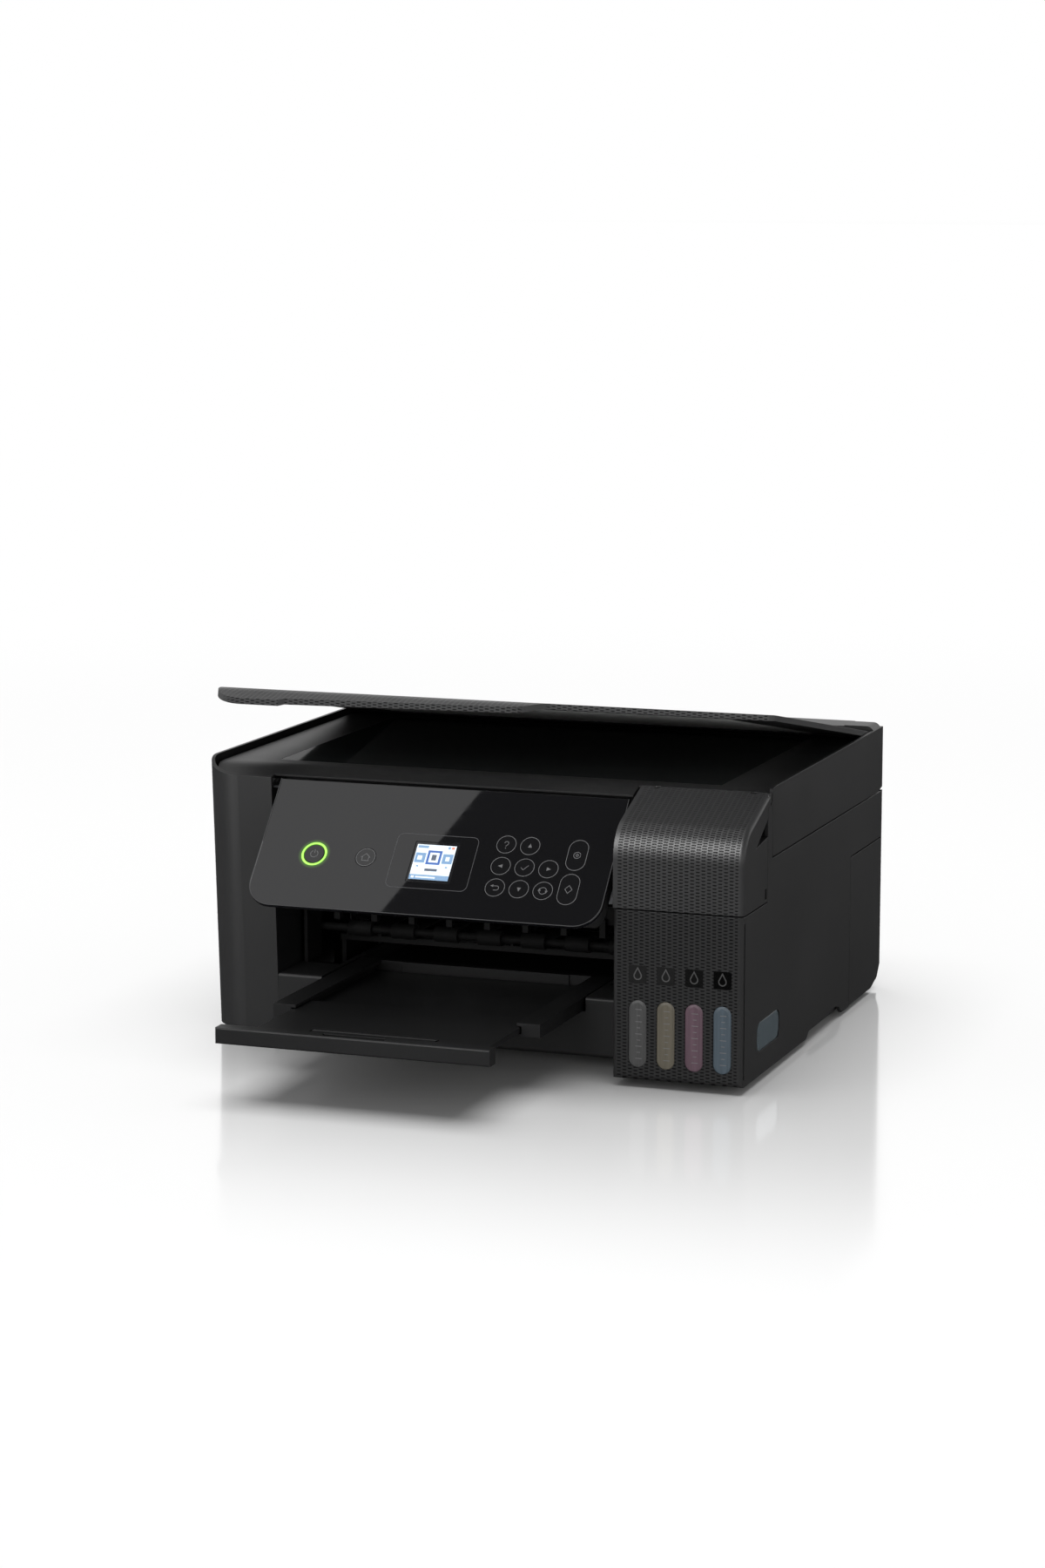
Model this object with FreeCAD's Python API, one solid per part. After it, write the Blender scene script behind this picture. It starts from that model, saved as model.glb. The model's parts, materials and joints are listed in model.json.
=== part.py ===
"""Flatbed inkjet printer with a refillable ink tank unit: one STEP file per separate piece.

Frame: millimetres, +X right, +Y back, +Z up, the floor at Z 0.  Shapes are drawn with Y 0 on the tank
unit's front face and are moved by ORIGIN_Y when they are written, so that the origin is the middle of
the object's footprint.  The lid is drawn open by LID_OPEN, the control panel raised to PANEL_TILT, and
the output tray pulled out, which is how the printer stands when it is in use.
"""
import FreeCAD, Part
import math
import os

V = FreeCAD.Vector

# ---- driving dimensions (mm, degrees) ----
HALF_W = 187.5            # half the width of the case
REAR_Y = 327.0            # back of the side walls
BULGE_Y = 347.0           # back of the rear cover's bulge
TRAY_FRONT_Y = -121.0     # front of the pulled-out tray
BASE_Z = 4.0              # underside of the case
TOP_Z = 179.5             # top of the case walls and of the closed lid
SEAM_Z = 136.5            # joint between the lower case and the scanner unit
SEAM_GAP = 0.9            # width of the seams between the covers
WALL = 2.2                # moulded wall thickness

SLOPE = 20.0              # fall of the case's top edge towards the front
NOSE_R = 23.0             # rounding from the sloping top into the vertical front
NOSE_Z = 140.7            # height where that rounding ends
CREST_R = 40.0            # rounding from the flat top into the slope

COLUMN_X = -136.4         # inner face of the left front column
COLUMN_FRONT = 38.2       # column front at Z 185, leaning back towards the floor
COLUMN_LEAN = 10.3        # how far the column's foot stands back
COLUMN_R = 28.0           # rounded front left corner
TANK_X = 105.0            # left face of the tank unit
TANK_SEAM_Z = 110.6       # joint between tank box and tank cover
TANK_PITCH = 17.85        # spacing of the four ink tanks
TANK_FIRST_X = 121.1      # centre of the first ink tank
BASE_FRONT_Y = 46.0       # front of the lower case between column and tank unit
LEDGE_Z = 43.0            # top of the lower front cover

UNIT_PIVOT = (318.0, 165.0)   # Y and Z of the scanner unit's hinge
UNIT_FRONT_R = 258.0          # front of the unit's side wall, an arc about that hinge
CHEEK_R = 27.6                # round cheek of the unit's left rear corner, about that hinge
DECK_DROP = 4.0               # deck surface below the case's top edge
DECK_T = 2.4                  # thickness of the deck
STRIP_Y = 51.0                # front edge of the deck behind the control panel
GLASS_X = (-148.5, 148.5)
GLASS_Y = (81.0, 285.0)

LID_AXIS = (300.0, 176.5)     # Y and Z of the lid hinge
LID_OPEN = 10.6               # how far the lid stands open
LID_SIDE_X = 184.7            # the lid's half width
LID_T = 3.6                   # thickness of the lid
LID_STEP_Y = 66.0             # front edge of the lid's short right part

PANEL_TOP = (42.0, 170.5)     # Y and Z of the fascia's top edge
PANEL_TILT = 41.9             # fascia's lean from the vertical
PANEL_X = (-130.5, 101.5)
PANEL_L = 93.0                # length of the fascia down its slope
PANEL_AXIS = (43.05, 164.2)   # Y and Z of the panel's hinge
PANEL_PIN_R = 1.5
FASCIA_T = 2.4

KEY_R = 6.5                   # round key
KEY_GAP = 0.3                 # play round a key
KEY_PITCH = 15.5              # spacing of the keypad
KEYPAD_X = 46.1               # keypad's middle column
KEYPAD_V = 53.9               # keypad's middle row, measured down the fascia

TRAY_X = (-104.5, 70.5)       # output tray, left and right
TRAY_Z = (34.4, 42.6)
TRAY_TRAVEL = 80.0            # travel of each of the two tray stages

PAPER_X = (-126.0, 92.0)      # width of the paper path
CARRIAGE_X = (94.0, 154.0)    # parked print carriage
BOARD_Z = 15.0                # lower edge of the main board, on the pan's ribs

ORIGIN_Y = (TRAY_FRONT_Y + BULGE_Y) / 2.0


# ---- helpers ----
def box(x, y, z):
    return Part.makeBox(x[1] - x[0], y[1] - y[0], z[1] - z[0], V(x[0], y[0], z[0]))


def rod_x(y, z, r, x):
    return Part.makeCylinder(r, x[1] - x[0], V(x[0], y, z), V(1, 0, 0))


def rod_y(x, z, r, y):
    return Part.makeCylinder(r, y[1] - y[0], V(x, y[0], z), V(0, 1, 0))


def rod_z(x, y, r, z):
    return Part.makeCylinder(r, z[1] - z[0], V(x, y, z[0]), V(0, 0, 1))


def side_prism(points, x):
    """Polygon in Y and Z, extruded along X."""
    wire = Part.makePolygon([V(x[0], y, z) for y, z in points + points[:1]])
    return Part.Face(wire).extrude(V(x[1] - x[0], 0, 0))


def plan_prism(points, z):
    """Polygon in X and Y, extruded upwards."""
    wire = Part.makePolygon([V(px, py, z[0]) for px, py in points + points[:1]])
    return Part.Face(wire).extrude(V(0, 0, z[1] - z[0]))


def slab(x, y, z, r):
    """Box with rounded upright edges."""
    solid = box(x, y, z)
    upright = [e for e in solid.Edges if abs(e.tangentAt(e.FirstParameter).z) > 0.9]
    return solid.makeFillet(r, upright)


def stadium_x(x, z, width, height, y):
    """Upright slot shape with round ends, facing along Y, centred at x and z."""
    r = width / 2.0
    half = height / 2.0 - r
    solid = box((x - r, x + r), y, (z - half, z + half))
    solid = solid.fuse(rod_y(x, z + half, r, y))
    return solid.fuse(rod_y(x, z - half, r, y)).removeSplitter()


def union(shapes):
    solid = shapes[0]
    for shape in shapes[1:]:
        solid = solid.fuse(shape)
    return solid.removeSplitter()


def turned(shape, axis, degrees):
    """Turn about a line along X through axis (Y, Z); positive lifts the front."""
    shape = shape.copy()
    shape.rotate(V(0, axis[0], axis[1]), V(1, 0, 0), -degrees)
    return shape


def skin_height(y):
    """Height of the case's top edge at depth y."""
    slope = math.radians(SLOPE)
    normal = (-math.sin(slope), math.cos(slope))
    crest_y = crest_centre()[0]
    if y >= crest_y:
        return TOP_Z
    if y >= crest_y + CREST_R * normal[0]:
        return TOP_Z - CREST_R + math.sqrt(CREST_R ** 2 - (y - crest_y) ** 2)
    if y >= NOSE_R + NOSE_R * normal[0]:
        start = (NOSE_R + NOSE_R * normal[0], NOSE_Z + NOSE_R * normal[1])
        return start[1] + (y - start[0]) * math.tan(slope)
    return NOSE_Z + math.sqrt(max(NOSE_R ** 2 - (NOSE_R - y) ** 2, 0.0))


def crest_centre():
    """Centre of the arc between the flat top and the slope."""
    slope = math.radians(SLOPE)
    z = TOP_Z - CREST_R
    y = NOSE_R + ((CREST_R - NOSE_R) + (z - NOSE_Z) * math.cos(slope)) / math.sin(slope)
    return (y, z)


def under_skin(inset, x, floor=-20.0, rear=REAR_Y + 40.0):
    """Everything under the case's top edge, drawn in by inset, between two X planes."""
    rise = math.radians(90.0 + SLOPE)
    mid = math.radians(90.0 + SLOPE + (90.0 - SLOPE) / 2.0)
    crest = crest_centre()

    def at(centre, radius, angle):
        return V(x[0], centre[0] + radius * math.cos(angle), centre[1] + radius * math.sin(angle))

    nose = (NOSE_R, NOSE_Z)
    r1 = NOSE_R - inset
    r2 = CREST_R - inset
    half = math.radians(90.0 + SLOPE / 2.0)
    edges = [
        Part.LineSegment(V(x[0], inset, floor), at(nose, r1, math.pi)).toShape(),
        Part.Arc(at(nose, r1, math.pi), at(nose, r1, mid), at(nose, r1, rise)).toShape(),
        Part.LineSegment(at(nose, r1, rise), at(crest, r2, rise)).toShape(),
        Part.Arc(at(crest, r2, rise), at(crest, r2, half), at(crest, r2, math.pi / 2)).toShape(),
        Part.LineSegment(at(crest, r2, math.pi / 2), V(x[0], rear, TOP_Z - inset)).toShape(),
        Part.LineSegment(V(x[0], rear, TOP_Z - inset), V(x[0], rear, floor)).toShape(),
        Part.LineSegment(V(x[0], rear, floor), V(x[0], inset, floor)).toShape(),
    ]
    return Part.Face(Part.Wire(edges)).extrude(V(x[1] - x[0], 0, 0))


def unit_drum(radius):
    """Cylinder about the scanner unit's hinge, which parts the unit's front from the lower case."""
    return rod_x(UNIT_PIVOT[0], UNIT_PIVOT[1], radius, (-HALF_W - 5, HALF_W + 5))


# ---- lower case ----
def base_pan():
    plate = slab((-180, 184), (86, 322), (BASE_Z + 1, BASE_Z + 3.4), 6)
    front = box((COLUMN_X + 3.5, TANK_X - 3.5), (BASE_FRONT_Y + 3, 90), (BASE_Z + 1, BASE_Z + 3.4))
    foot_tab = slab((-172, COLUMN_X - 6), (60, 96), (BASE_Z + 1, BASE_Z + 3.4), 4)
    ribs = [box((-176, 180), (y, y + 2), (BASE_Z + 3.2, BOARD_Z)) for y in (90, 205, 300)]
    posts = [rod_z(x, y, 5, (BASE_Z + 3, BASE_Z + 14)) for x in (-168, 168) for y in (95, 310)]
    return union([plate, front, foot_tab] + ribs + posts)


def rubber_feet():
    places = [(-150, 74), (150, 30), (-170, 225), (170, 225), (-120, 312), (120, 312)]
    feet = [rod_z(x, y, 8, (0, BASE_Z + 1)) for x, y in places]
    return Part.makeCompound([foot.makeFillet(1.0, [foot.Edges[2]]) for foot in feet])


def column_plan(z, inset):
    """Outline of the left side cover at height z, drawn in by inset."""
    front = COLUMN_FRONT + (185.0 - z) / (185.0 - BASE_Z) * COLUMN_LEAN + inset
    left = -HALF_W + inset
    right = COLUMN_X - inset
    r = COLUMN_R - inset
    turn = r * (1.0 - math.cos(math.pi / 4))
    corner = Part.Arc(V(left, front + r, z), V(left + turn, front + turn, z), V(left + r, front, z))
    edges = [
        corner.toShape(),
        Part.LineSegment(V(left + r, front, z), V(right, front, z)).toShape(),
        Part.LineSegment(V(right, front, z), V(right, REAR_Y - 2.4, z)).toShape(),
        Part.LineSegment(V(right, REAR_Y - 2.4, z), V(left, REAR_Y - 2.4, z)).toShape(),
        Part.LineSegment(V(left, REAR_Y - 2.4, z), V(left, front + r, z)).toShape(),
    ]
    return Part.Wire(edges)


def left_side_cover():
    outer = Part.makeLoft([column_plan(BASE_Z, 0), column_plan(185.0, 0)], True, True)
    hollow = Part.makeLoft([column_plan(BASE_Z, WALL), column_plan(185.0, WALL)], True, True)
    shell = outer.cut(hollow).common(under_skin(0, (-HALF_W, COLUMN_X)))
    shell = shell.cut(box((-150, COLUMN_X + 1), (84, REAR_Y), (0, 190)))
    shell = shell.cut(box((-150, COLUMN_X + 1), (60.4, REAR_Y), (SEAM_Z + 2.5, 190)))
    shell = shell.cut(inner_wall_relief(43.0 + PANEL_PIN_R + 1.9, DECK_DROP + DECK_T + 0.6))
    shell = shell.cut(inner_wall_relief(COLUMN_FRONT + 3.2, LID_T + 0.6))
    shell = shell.cut(rear_wrap_space(-HALF_W - 1, -HALF_W + WALL + 1))
    shell = shell.cut(rod_x(UNIT_PIVOT[0], UNIT_PIVOT[1], CHEEK_R + 0.4, (-HALF_W - 1, -HALF_W + WALL + 1)))
    shell = shell.cut(box((-HALF_W - 1, -170), (UNIT_PIVOT[0], REAR_Y), (SEAM_Z - 0.3, 190)))
    shell = shell.cut(rod_x(PANEL_AXIS[0], PANEL_AXIS[1], PANEL_PIN_R, (COLUMN_X - 4, COLUMN_X + 1)))
    lip = box((COLUMN_X - WALL - 3, COLUMN_X - WALL), (46, 80), (BASE_Z, BASE_Z + 8))
    return shell.fuse(lip).removeSplitter()


def inner_wall_relief(front, depth):
    """What the column's inner wall gives up behind front, so that the deck and lid pass over it."""
    over = box((COLUMN_X - WALL - 1, COLUMN_X + 1), (front, REAR_Y), (100, 200))
    return over.cut(under_skin(depth, (COLUMN_X - WALL - 2, COLUMN_X + 2)))


def side_outline():
    """Right side of the lower case in Y and Z, with its stepped underside."""
    return [(3.8, BASE_Z + 1), (143, BASE_Z), (150, 9), (214, 10), (222, 8), (229, BASE_Z - 1),
            (304, BASE_Z - 1), (REAR_Y - 3, 16), (REAR_Y - 2.4, SEAM_Z - SEAM_GAP), (60.6, SEAM_Z - SEAM_GAP),
            (59.6, 168.0), (59.6, 171.4), (55.6, 168.3), (50.4, 168.0), (50.4, TANK_SEAM_Z - SEAM_GAP),
            (3.8, TANK_SEAM_Z - SEAM_GAP)]


def rear_wrap_space(x0, x1):
    """Room that the rear cover's wrap-round corner takes in a side wall."""
    return box((x0, x1), (246.8, REAR_Y + 1), (0, 104.2))


def side_window(grow, x):
    """Rounded window in the right side, over the inks."""
    solid = box(x, (31 - grow, 80 + grow), (20 - grow, 38 + grow))
    along = [e for e in solid.Edges if abs(e.tangentAt(e.FirstParameter).x) > 0.9]
    return solid.makeFillet(6.5, along)


def right_side_cover():
    wall = side_prism(side_outline(), (HALF_W - WALL, HALF_W))
    wall = wall.cut(unit_drum(UNIT_FRONT_R + 0.4).common(box((150, 200), (40, 340), (SEAM_Z - 0.3, 190))))
    wall = wall.cut(rear_wrap_space(HALF_W - WALL - 1, HALF_W + 1))
    wall = wall.cut(side_window(0.15, (HALF_W - WALL - 1, HALF_W + 1)))
    shelf = box((HALF_W - WALL - 4, HALF_W - WALL), (64, 240), (SEAM_Z - 4.3, SEAM_Z - 2.3))
    tab = box((HALF_W - WALL - 4, HALF_W - WALL), (52, 58), (112, 166))
    return union([wall, shelf, tab])


def rear_cover():
    back = box((-HALF_W + WALL, HALF_W - WALL), (REAR_Y - 2.2, REAR_Y), (BASE_Z + 1, SEAM_Z - 0.3))
    sides = []
    for x in ((-HALF_W, -HALF_W + WALL), (HALF_W - WALL, HALF_W)):
        outline = [(247.2, BASE_Z - 0.5), (304, BASE_Z - 0.5), (320, 8), (REAR_Y, 16), (REAR_Y, 104.2 - SEAM_GAP),
                   (247.2, 104.2 - SEAM_GAP)]
        sides.append(side_prism(outline, x))
        sides.append(box(x, (REAR_Y - 2.2, REAR_Y), (103, SEAM_Z - 0.3)))
    bulge = slab((-150, 150), (REAR_Y - 0.5, BULGE_Y), (22, 98), 6)
    hollow = slab((-147.8, 147.8), (REAR_Y - 8, BULGE_Y - 2.2), (24.2, 95.8), 4)
    cover = union([back] + sides + [bulge]).cut(hollow)
    for z in range(34, 60, 5):
        cover = cover.cut(box((60, 130), (REAR_Y - 3, BULGE_Y + 1), (z, z + 2)))
    cover = cover.cut(box((-164, -134), (REAR_Y - 4, REAR_Y + 1), (36, 58)))
    cover = cover.cut(box((164, 178), (REAR_Y - 4, REAR_Y + 1), (36, 49)))
    for x, y, z in screw_places():
        cover = cover.cut(rod_y(x, z, 1.7, (y - 1, y + 4)))
    return cover


def screw_places():
    return [(x, REAR_Y - 2.2, z) for x in (-178, 178) for z in (24, 118)]


def cover_screws():
    screws = []
    for x, y, z in screw_places():
        shank = rod_y(x, z, 1.6, (y - 8, y + 2.3))
        head = rod_y(x, z, 3.2, (y + 2.2, y + 3.8))
        cross = box((x - 2, x + 2), (y + 3.0, y + 4), (z - 0.4, z + 0.4))
        cross = cross.fuse(box((x - 0.4, x + 0.4), (y + 3.0, y + 4), (z - 2, z + 2)))
        screws.append(shank.fuse(head).cut(cross).removeSplitter())
    return Part.makeCompound(screws)


def front_lower_cover():
    front = box((COLUMN_X + 0.3, TANK_X - 0.3), (BASE_FRONT_Y, 84), (BASE_Z + 1, LEDGE_Z))
    edge = [e for e in front.Edges if abs(e.tangentAt(e.FirstParameter).x) > 0.9
            and abs(e.CenterOfMass.y - BASE_FRONT_Y) < 0.1]
    front = front.makeFillet(2.0, edge)
    pocket = box((TRAY_X[0] - 1.5, TRAY_X[1] + 1.5), (30, 90), (TRAY_Z[0] - 0.5, LEDGE_Z + 5))
    inside = box((COLUMN_X + 2.5, TANK_X - 2.5), (BASE_FRONT_Y + 2.2, 86), (0, TRAY_Z[0] - 2.9))
    rails = [box((x, x + 3), (82, 200), (28, LEDGE_Z)) for x in (TRAY_X[0] - 4.5, TRAY_X[1] + 1.5)]
    floor = box((TRAY_X[0] - 4.5, TRAY_X[1] + 4.5), (82, 200), (TRAY_Z[0] - 2.9, TRAY_Z[0] - 0.5))
    return union([front.cut(pocket).cut(inside), floor] + rails)


# ---- output tray, drawn pulled out ----
def output_tray():
    x0, x1 = TRAY_X
    y0 = BASE_FRONT_Y - TRAY_TRAVEL
    plate = box((x0, x1), (y0, y0 + 146), TRAY_Z)
    channel = box((x0 + 12, x1 - 12), (y0 - 1, y0 + 140), (TRAY_Z[0] + 1.6, TRAY_Z[1] + 1))
    plate = plate.cut(channel)
    rails = [box((x, x + 3), (y0, y0 + 140), (TRAY_Z[1] - 1.8, TRAY_Z[1])) for x in (x0 + 12, x1 - 15)]
    stop = box((x0 + 30, x1 - 30), (y0 + 139, y0 + 146), (TRAY_Z[0] + 1.5, TRAY_Z[1]))
    return union([plate, stop] + rails)


def tray_extension():
    x0, x1 = TRAY_X
    z0 = TRAY_Z[0] + 2.0
    front = TRAY_FRONT_Y
    bar = box((x0, x1), (front, front + 9.5), (36.5, 46.4))
    bar = bar.makeFillet(1.0, [e for e in bar.Edges if abs(e.CenterOfMass.y - front) < 0.01])
    plate = box((x0 + 12.8, x1 - 12.8), (front + 9, front + 112), (z0 + 0.5, z0 + 3.8))
    hole = box((-58, 24), (front + 9.6, front + 40.4), (z0 + 1.3, z0 + 5))
    grip = box((-37, 3), (front + 3.0, front + 7.0), (43.5, 47))
    return bar.fuse(plate).cut(hole).cut(grip).removeSplitter()


TRAY_STOP_AXIS = (TRAY_FRONT_Y + 37.6, TRAY_Z[0] + 4.9)


def tray_stop():
    y, z = TRAY_STOP_AXIS
    flap = box((-57, 23), (TRAY_FRONT_Y + 10.4, y), (z - 1.0, z + 1.0))
    barrel = rod_x(y, z, 1.3, (-57, 23))
    return flap.fuse(barrel).removeSplitter()


# ---- control panel, drawn at its raised tilt ----
def panel_point(v, depth):
    """Y and Z of a point v down the fascia and depth behind it."""
    tilt = math.radians(PANEL_TILT)
    y = PANEL_TOP[0] - v * math.sin(tilt) + depth * math.cos(tilt)
    z = PANEL_TOP[1] - v * math.cos(tilt) - depth * math.sin(tilt)
    return (y, z)


def to_panel(shape):
    """Lay a shape drawn in fascia coordinates (X, down the slope, depth) on the panel."""
    tilt = math.radians(PANEL_TILT)
    down = (-math.sin(tilt), -math.cos(tilt))
    deep = (math.cos(tilt), -math.sin(tilt))
    m = FreeCAD.Matrix(1, 0, 0, 0,
                       0, down[0], deep[0], PANEL_TOP[0],
                       0, down[1], deep[1], PANEL_TOP[1],
                       0, 0, 0, 1)
    return shape.transformGeometry(m) if m.determinant() < 0 else shape.transformed(m)


def fascia_plate(inset, depth):
    """Fascia outline: square top corners, round bottom corners."""
    x = (PANEL_X[0] + inset, PANEL_X[1] - inset)
    plate = box(x, (inset, PANEL_L - inset), depth)
    low = [e for e in plate.Edges if abs(e.tangentAt(e.FirstParameter).z) > 0.9
           and e.CenterOfMass.y > PANEL_L / 2]
    return plate.makeFillet(17.0 - inset, low)


def keys_layout():
    """Node name, X, distance down the fascia and shape of every key."""
    p = KEY_PITCH
    x, v = KEYPAD_X, KEYPAD_V
    return [("key_power", -93.1, 54.1, "round"), ("key_home", -58.5, 54.1, "round"),
            ("key_help", x - p, v - p, "round"), ("key_up", x, v - p, "round"),
            ("key_left", x - p, v, "round"), ("key_ok", x, v, "round"), ("key_right", x + p, v, "round"),
            ("key_back", x - p, v + p, "round"), ("key_down", x, v + p, "round"),
            ("key_stop", x + p, v + p, "round"),
            ("key_copy_mono", 77.6, 42.8, "long"), ("key_copy_colour", 77.6, 67.2, "long")]


def key_body(x, v, kind, r, depth):
    """Round or long key outline between two depths."""
    if kind == "round":
        return rod_z(x, v, r, depth)
    half = 4.6
    solid = union([box((x - r, x + r), (v - half, v + half), depth), rod_z(x, v - half, r, depth),
                   rod_z(x, v + half, r, depth)])
    return solid


def panel_fascia():
    plate = fascia_plate(0, (0, FASCIA_T))
    rim = [e for e in plate.Edges if abs(e.CenterOfMass.z) < 0.01]
    plate = plate.makeChamfer(0.7, rim)
    for name, x, v, kind in keys_layout():
        plate = plate.cut(key_body(x, v, kind, KEY_R + KEY_GAP, (-1, FASCIA_T + 1)))
    plate = plate.cut(box((-28.4, 0.4), (40.0, 69.0), (-1, FASCIA_T + 1)))
    return to_panel(plate)


def display_screen():
    return to_panel(box((-28.2, 0.2), (40.2, 68.8), (0.35, 4.2)))


def panel_shell():
    """Back shell of the panel: a tub behind the fascia, rounded at the hinge."""
    x0, x1 = PANEL_X[0] + 0.8, PANEL_X[1] - 0.8
    outline = [(2.2, FASCIA_T), (PANEL_L - 1.5, FASCIA_T), (PANEL_L - 7, 11.5), (30, 12.5), (7, 6.2),
               (2.2, 5.6)]
    inner = [(8.5, FASCIA_T - 1), (PANEL_L - 4.5, FASCIA_T - 1), (PANEL_L - 9, 9.7), (30.5, 10.6),
             (8.5, 4.6)]
    body = prism_on_panel(outline, (x0, x1))
    body = body.common(to_panel(fascia_plate(0.9, (FASCIA_T, 40))))
    body = body.cut(prism_on_panel(inner, (x0 + 2, x1 - 2)).common(to_panel(fascia_plate(2.9, (0, 40)))))
    knuckles = rod_x(PANEL_AXIS[0], PANEL_AXIS[1], 3.1, (x0, x0 + 9))
    knuckles = knuckles.fuse(rod_x(PANEL_AXIS[0], PANEL_AXIS[1], 3.1, (x1 - 9, x1)))
    body = body.fuse(knuckles.cut(to_panel(box((-200, 200), (-20, 120), (-30, FASCIA_T)))))
    body = body.cut(rod_x(PANEL_AXIS[0], PANEL_AXIS[1], PANEL_PIN_R + 0.05, (x0 - 1, x0 + 10)))
    body = body.cut(rod_x(PANEL_AXIS[0], PANEL_AXIS[1], PANEL_PIN_R + 0.05, (x1 - 10, x1 + 1)))
    return body.removeSplitter()


def prism_on_panel(points, x):
    """Polygon in fascia coordinates (down the slope, depth), extruded along X."""
    return side_prism([panel_point(v, depth) for v, depth in points], x)


def panel_hinge_pins():
    left = rod_x(PANEL_AXIS[0], PANEL_AXIS[1], PANEL_PIN_R, (COLUMN_X - WALL, PANEL_X[0] + 8))
    right = rod_x(PANEL_AXIS[0], PANEL_AXIS[1], PANEL_PIN_R, (PANEL_X[1] - 8, 104.4))
    return Part.makeCompound([left, right])


def key_solid(x, v, kind):
    cap = key_body(x, v, kind, KEY_R, (-0.1, 3.4))
    top = [e for e in cap.Edges if abs(e.CenterOfMass.z + 0.1) < 0.01]
    cap = cap.makeFillet(0.25, top)
    flange = key_body(x, v, kind, KEY_R + 0.8, (3.1, 4.3))
    return to_panel(cap.fuse(flange).removeSplitter())


# ---- ink tank unit ----
def tank_centres():
    return [TANK_FIRST_X + i * TANK_PITCH for i in range(4)]


def tank_housing():
    """Front box of the tank unit, with its window slots, filler shelf and the panel's right bearing."""
    top = TANK_SEAM_Z - SEAM_GAP + 0.2
    outer = box((TANK_X, HALF_W), (0, 76), (BASE_Z + 1, top))
    front = [e for e in outer.Edges if abs(e.CenterOfMass.y) < 0.01 and abs(e.CenterOfMass.z - top) > 1]
    outer = outer.makeFillet(3.0, front)
    brow = [e for e in outer.Edges if abs(e.CenterOfMass.y) < 0.01 and abs(e.CenterOfMass.z - top) < 0.01]
    outer = outer.makeChamfer(0.5, brow)
    keep = box((TANK_X - 1, HALF_W + 1), (-1, 3.6), (0, 120))
    keep = keep.fuse(box((TANK_X - 1, HALF_W - WALL - 0.2), (3, 80), (0, 120)))
    hollow = box((TANK_X + WALL, HALF_W), (WALL, 90), (BASE_Z + 5.6, top - 4.2))
    hollow = hollow.fuse(box((TANK_X + WALL, HALF_W - WALL), (WALL, 90), (top - 2.0, top + 5)))
    shell = outer.common(keep).cut(hollow)
    for x in tank_centres():
        shell = shell.cut(stadium_x(x, 33.8, 11.6, 42.1, (-1, WALL + 0.1)))
        shell = shell.cut(rod_z(x, 38, 7.2, (top - 6, top + 1)))
    bearing = box((102.4, 104.4), (39.2, 74), (LEDGE_Z + 1, 134))
    bearing = bearing.fuse(box((102.4, 104.4), (40.05, 46.05), (133, PANEL_AXIS[1])))
    bearing = bearing.fuse(rod_x(PANEL_AXIS[0], PANEL_AXIS[1], 3.0, (102.4, 104.4)))
    bearing = bearing.cut(rod_x(PANEL_AXIS[0], PANEL_AXIS[1], PANEL_PIN_R, (102, 105)))
    web = box((104.3, TANK_X + 0.5), (50, 74), (LEDGE_Z + 1, top - 6))
    ears = [ear.cut(tank_pin(1.65)) for ear in tank_ears()]
    return union([shell, bearing, web] + ears)


TANK_COVER_AXIS = (55.4, 173.2)


def tank_pin(r):
    return rod_x(TANK_COVER_AXIS[0], TANK_COVER_AXIS[1], r, (112.0, 180.6))


def tank_ears():
    """Two uprights at the back of the tank unit that carry the tank cover's hinge."""
    ears = []
    for x in ((114.0, 117.0), (175.6, 178.6)):
        post = box(x, (54.0, 58.8), (104, 172))
        knuckle = rod_x(TANK_COVER_AXIS[0], TANK_COVER_AXIS[1], 3.1, x)
        ears.append(post.fuse(knuckle))
    return ears


def ink_windows():
    windows = [stadium_x(x, 33.8, 11.4, 41.9, (0.5, 2.0)) for x in tank_centres()]
    windows.append(side_window(0, (HALF_W - 1.9, HALF_W - 0.25)))
    return Part.makeCompound(windows)


def ink_tank(x):
    body = slab((x - 8.5, x + 8.5), (3.0, 56.0), (BASE_Z + 6.5, 96), 2.0)
    neck = rod_z(x, 38, 6.6, (95.5, 107.4))
    mouth = rod_z(x, 38, 4.9, (92, 110))
    return body.fuse(neck).cut(mouth).removeSplitter()


CAP_AXIS = (50.4, 111.4)


def tank_cap(x):
    disc = rod_z(x, 38, 7.6, (108.6, 112.2))
    plug = rod_z(x, 38, 3.8, (105, 109))
    arm = box((x - 3, x + 3), (38, CAP_AXIS[0]), (109.6, 112.2))
    barrel = rod_x(CAP_AXIS[0], CAP_AXIS[1], 1.8, (x - 3, x + 3))
    tab = box((x - 3, x + 3), (28.5, 34), (110.2, 112.2))
    return union([disc, plug, arm, barrel, tab])


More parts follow.
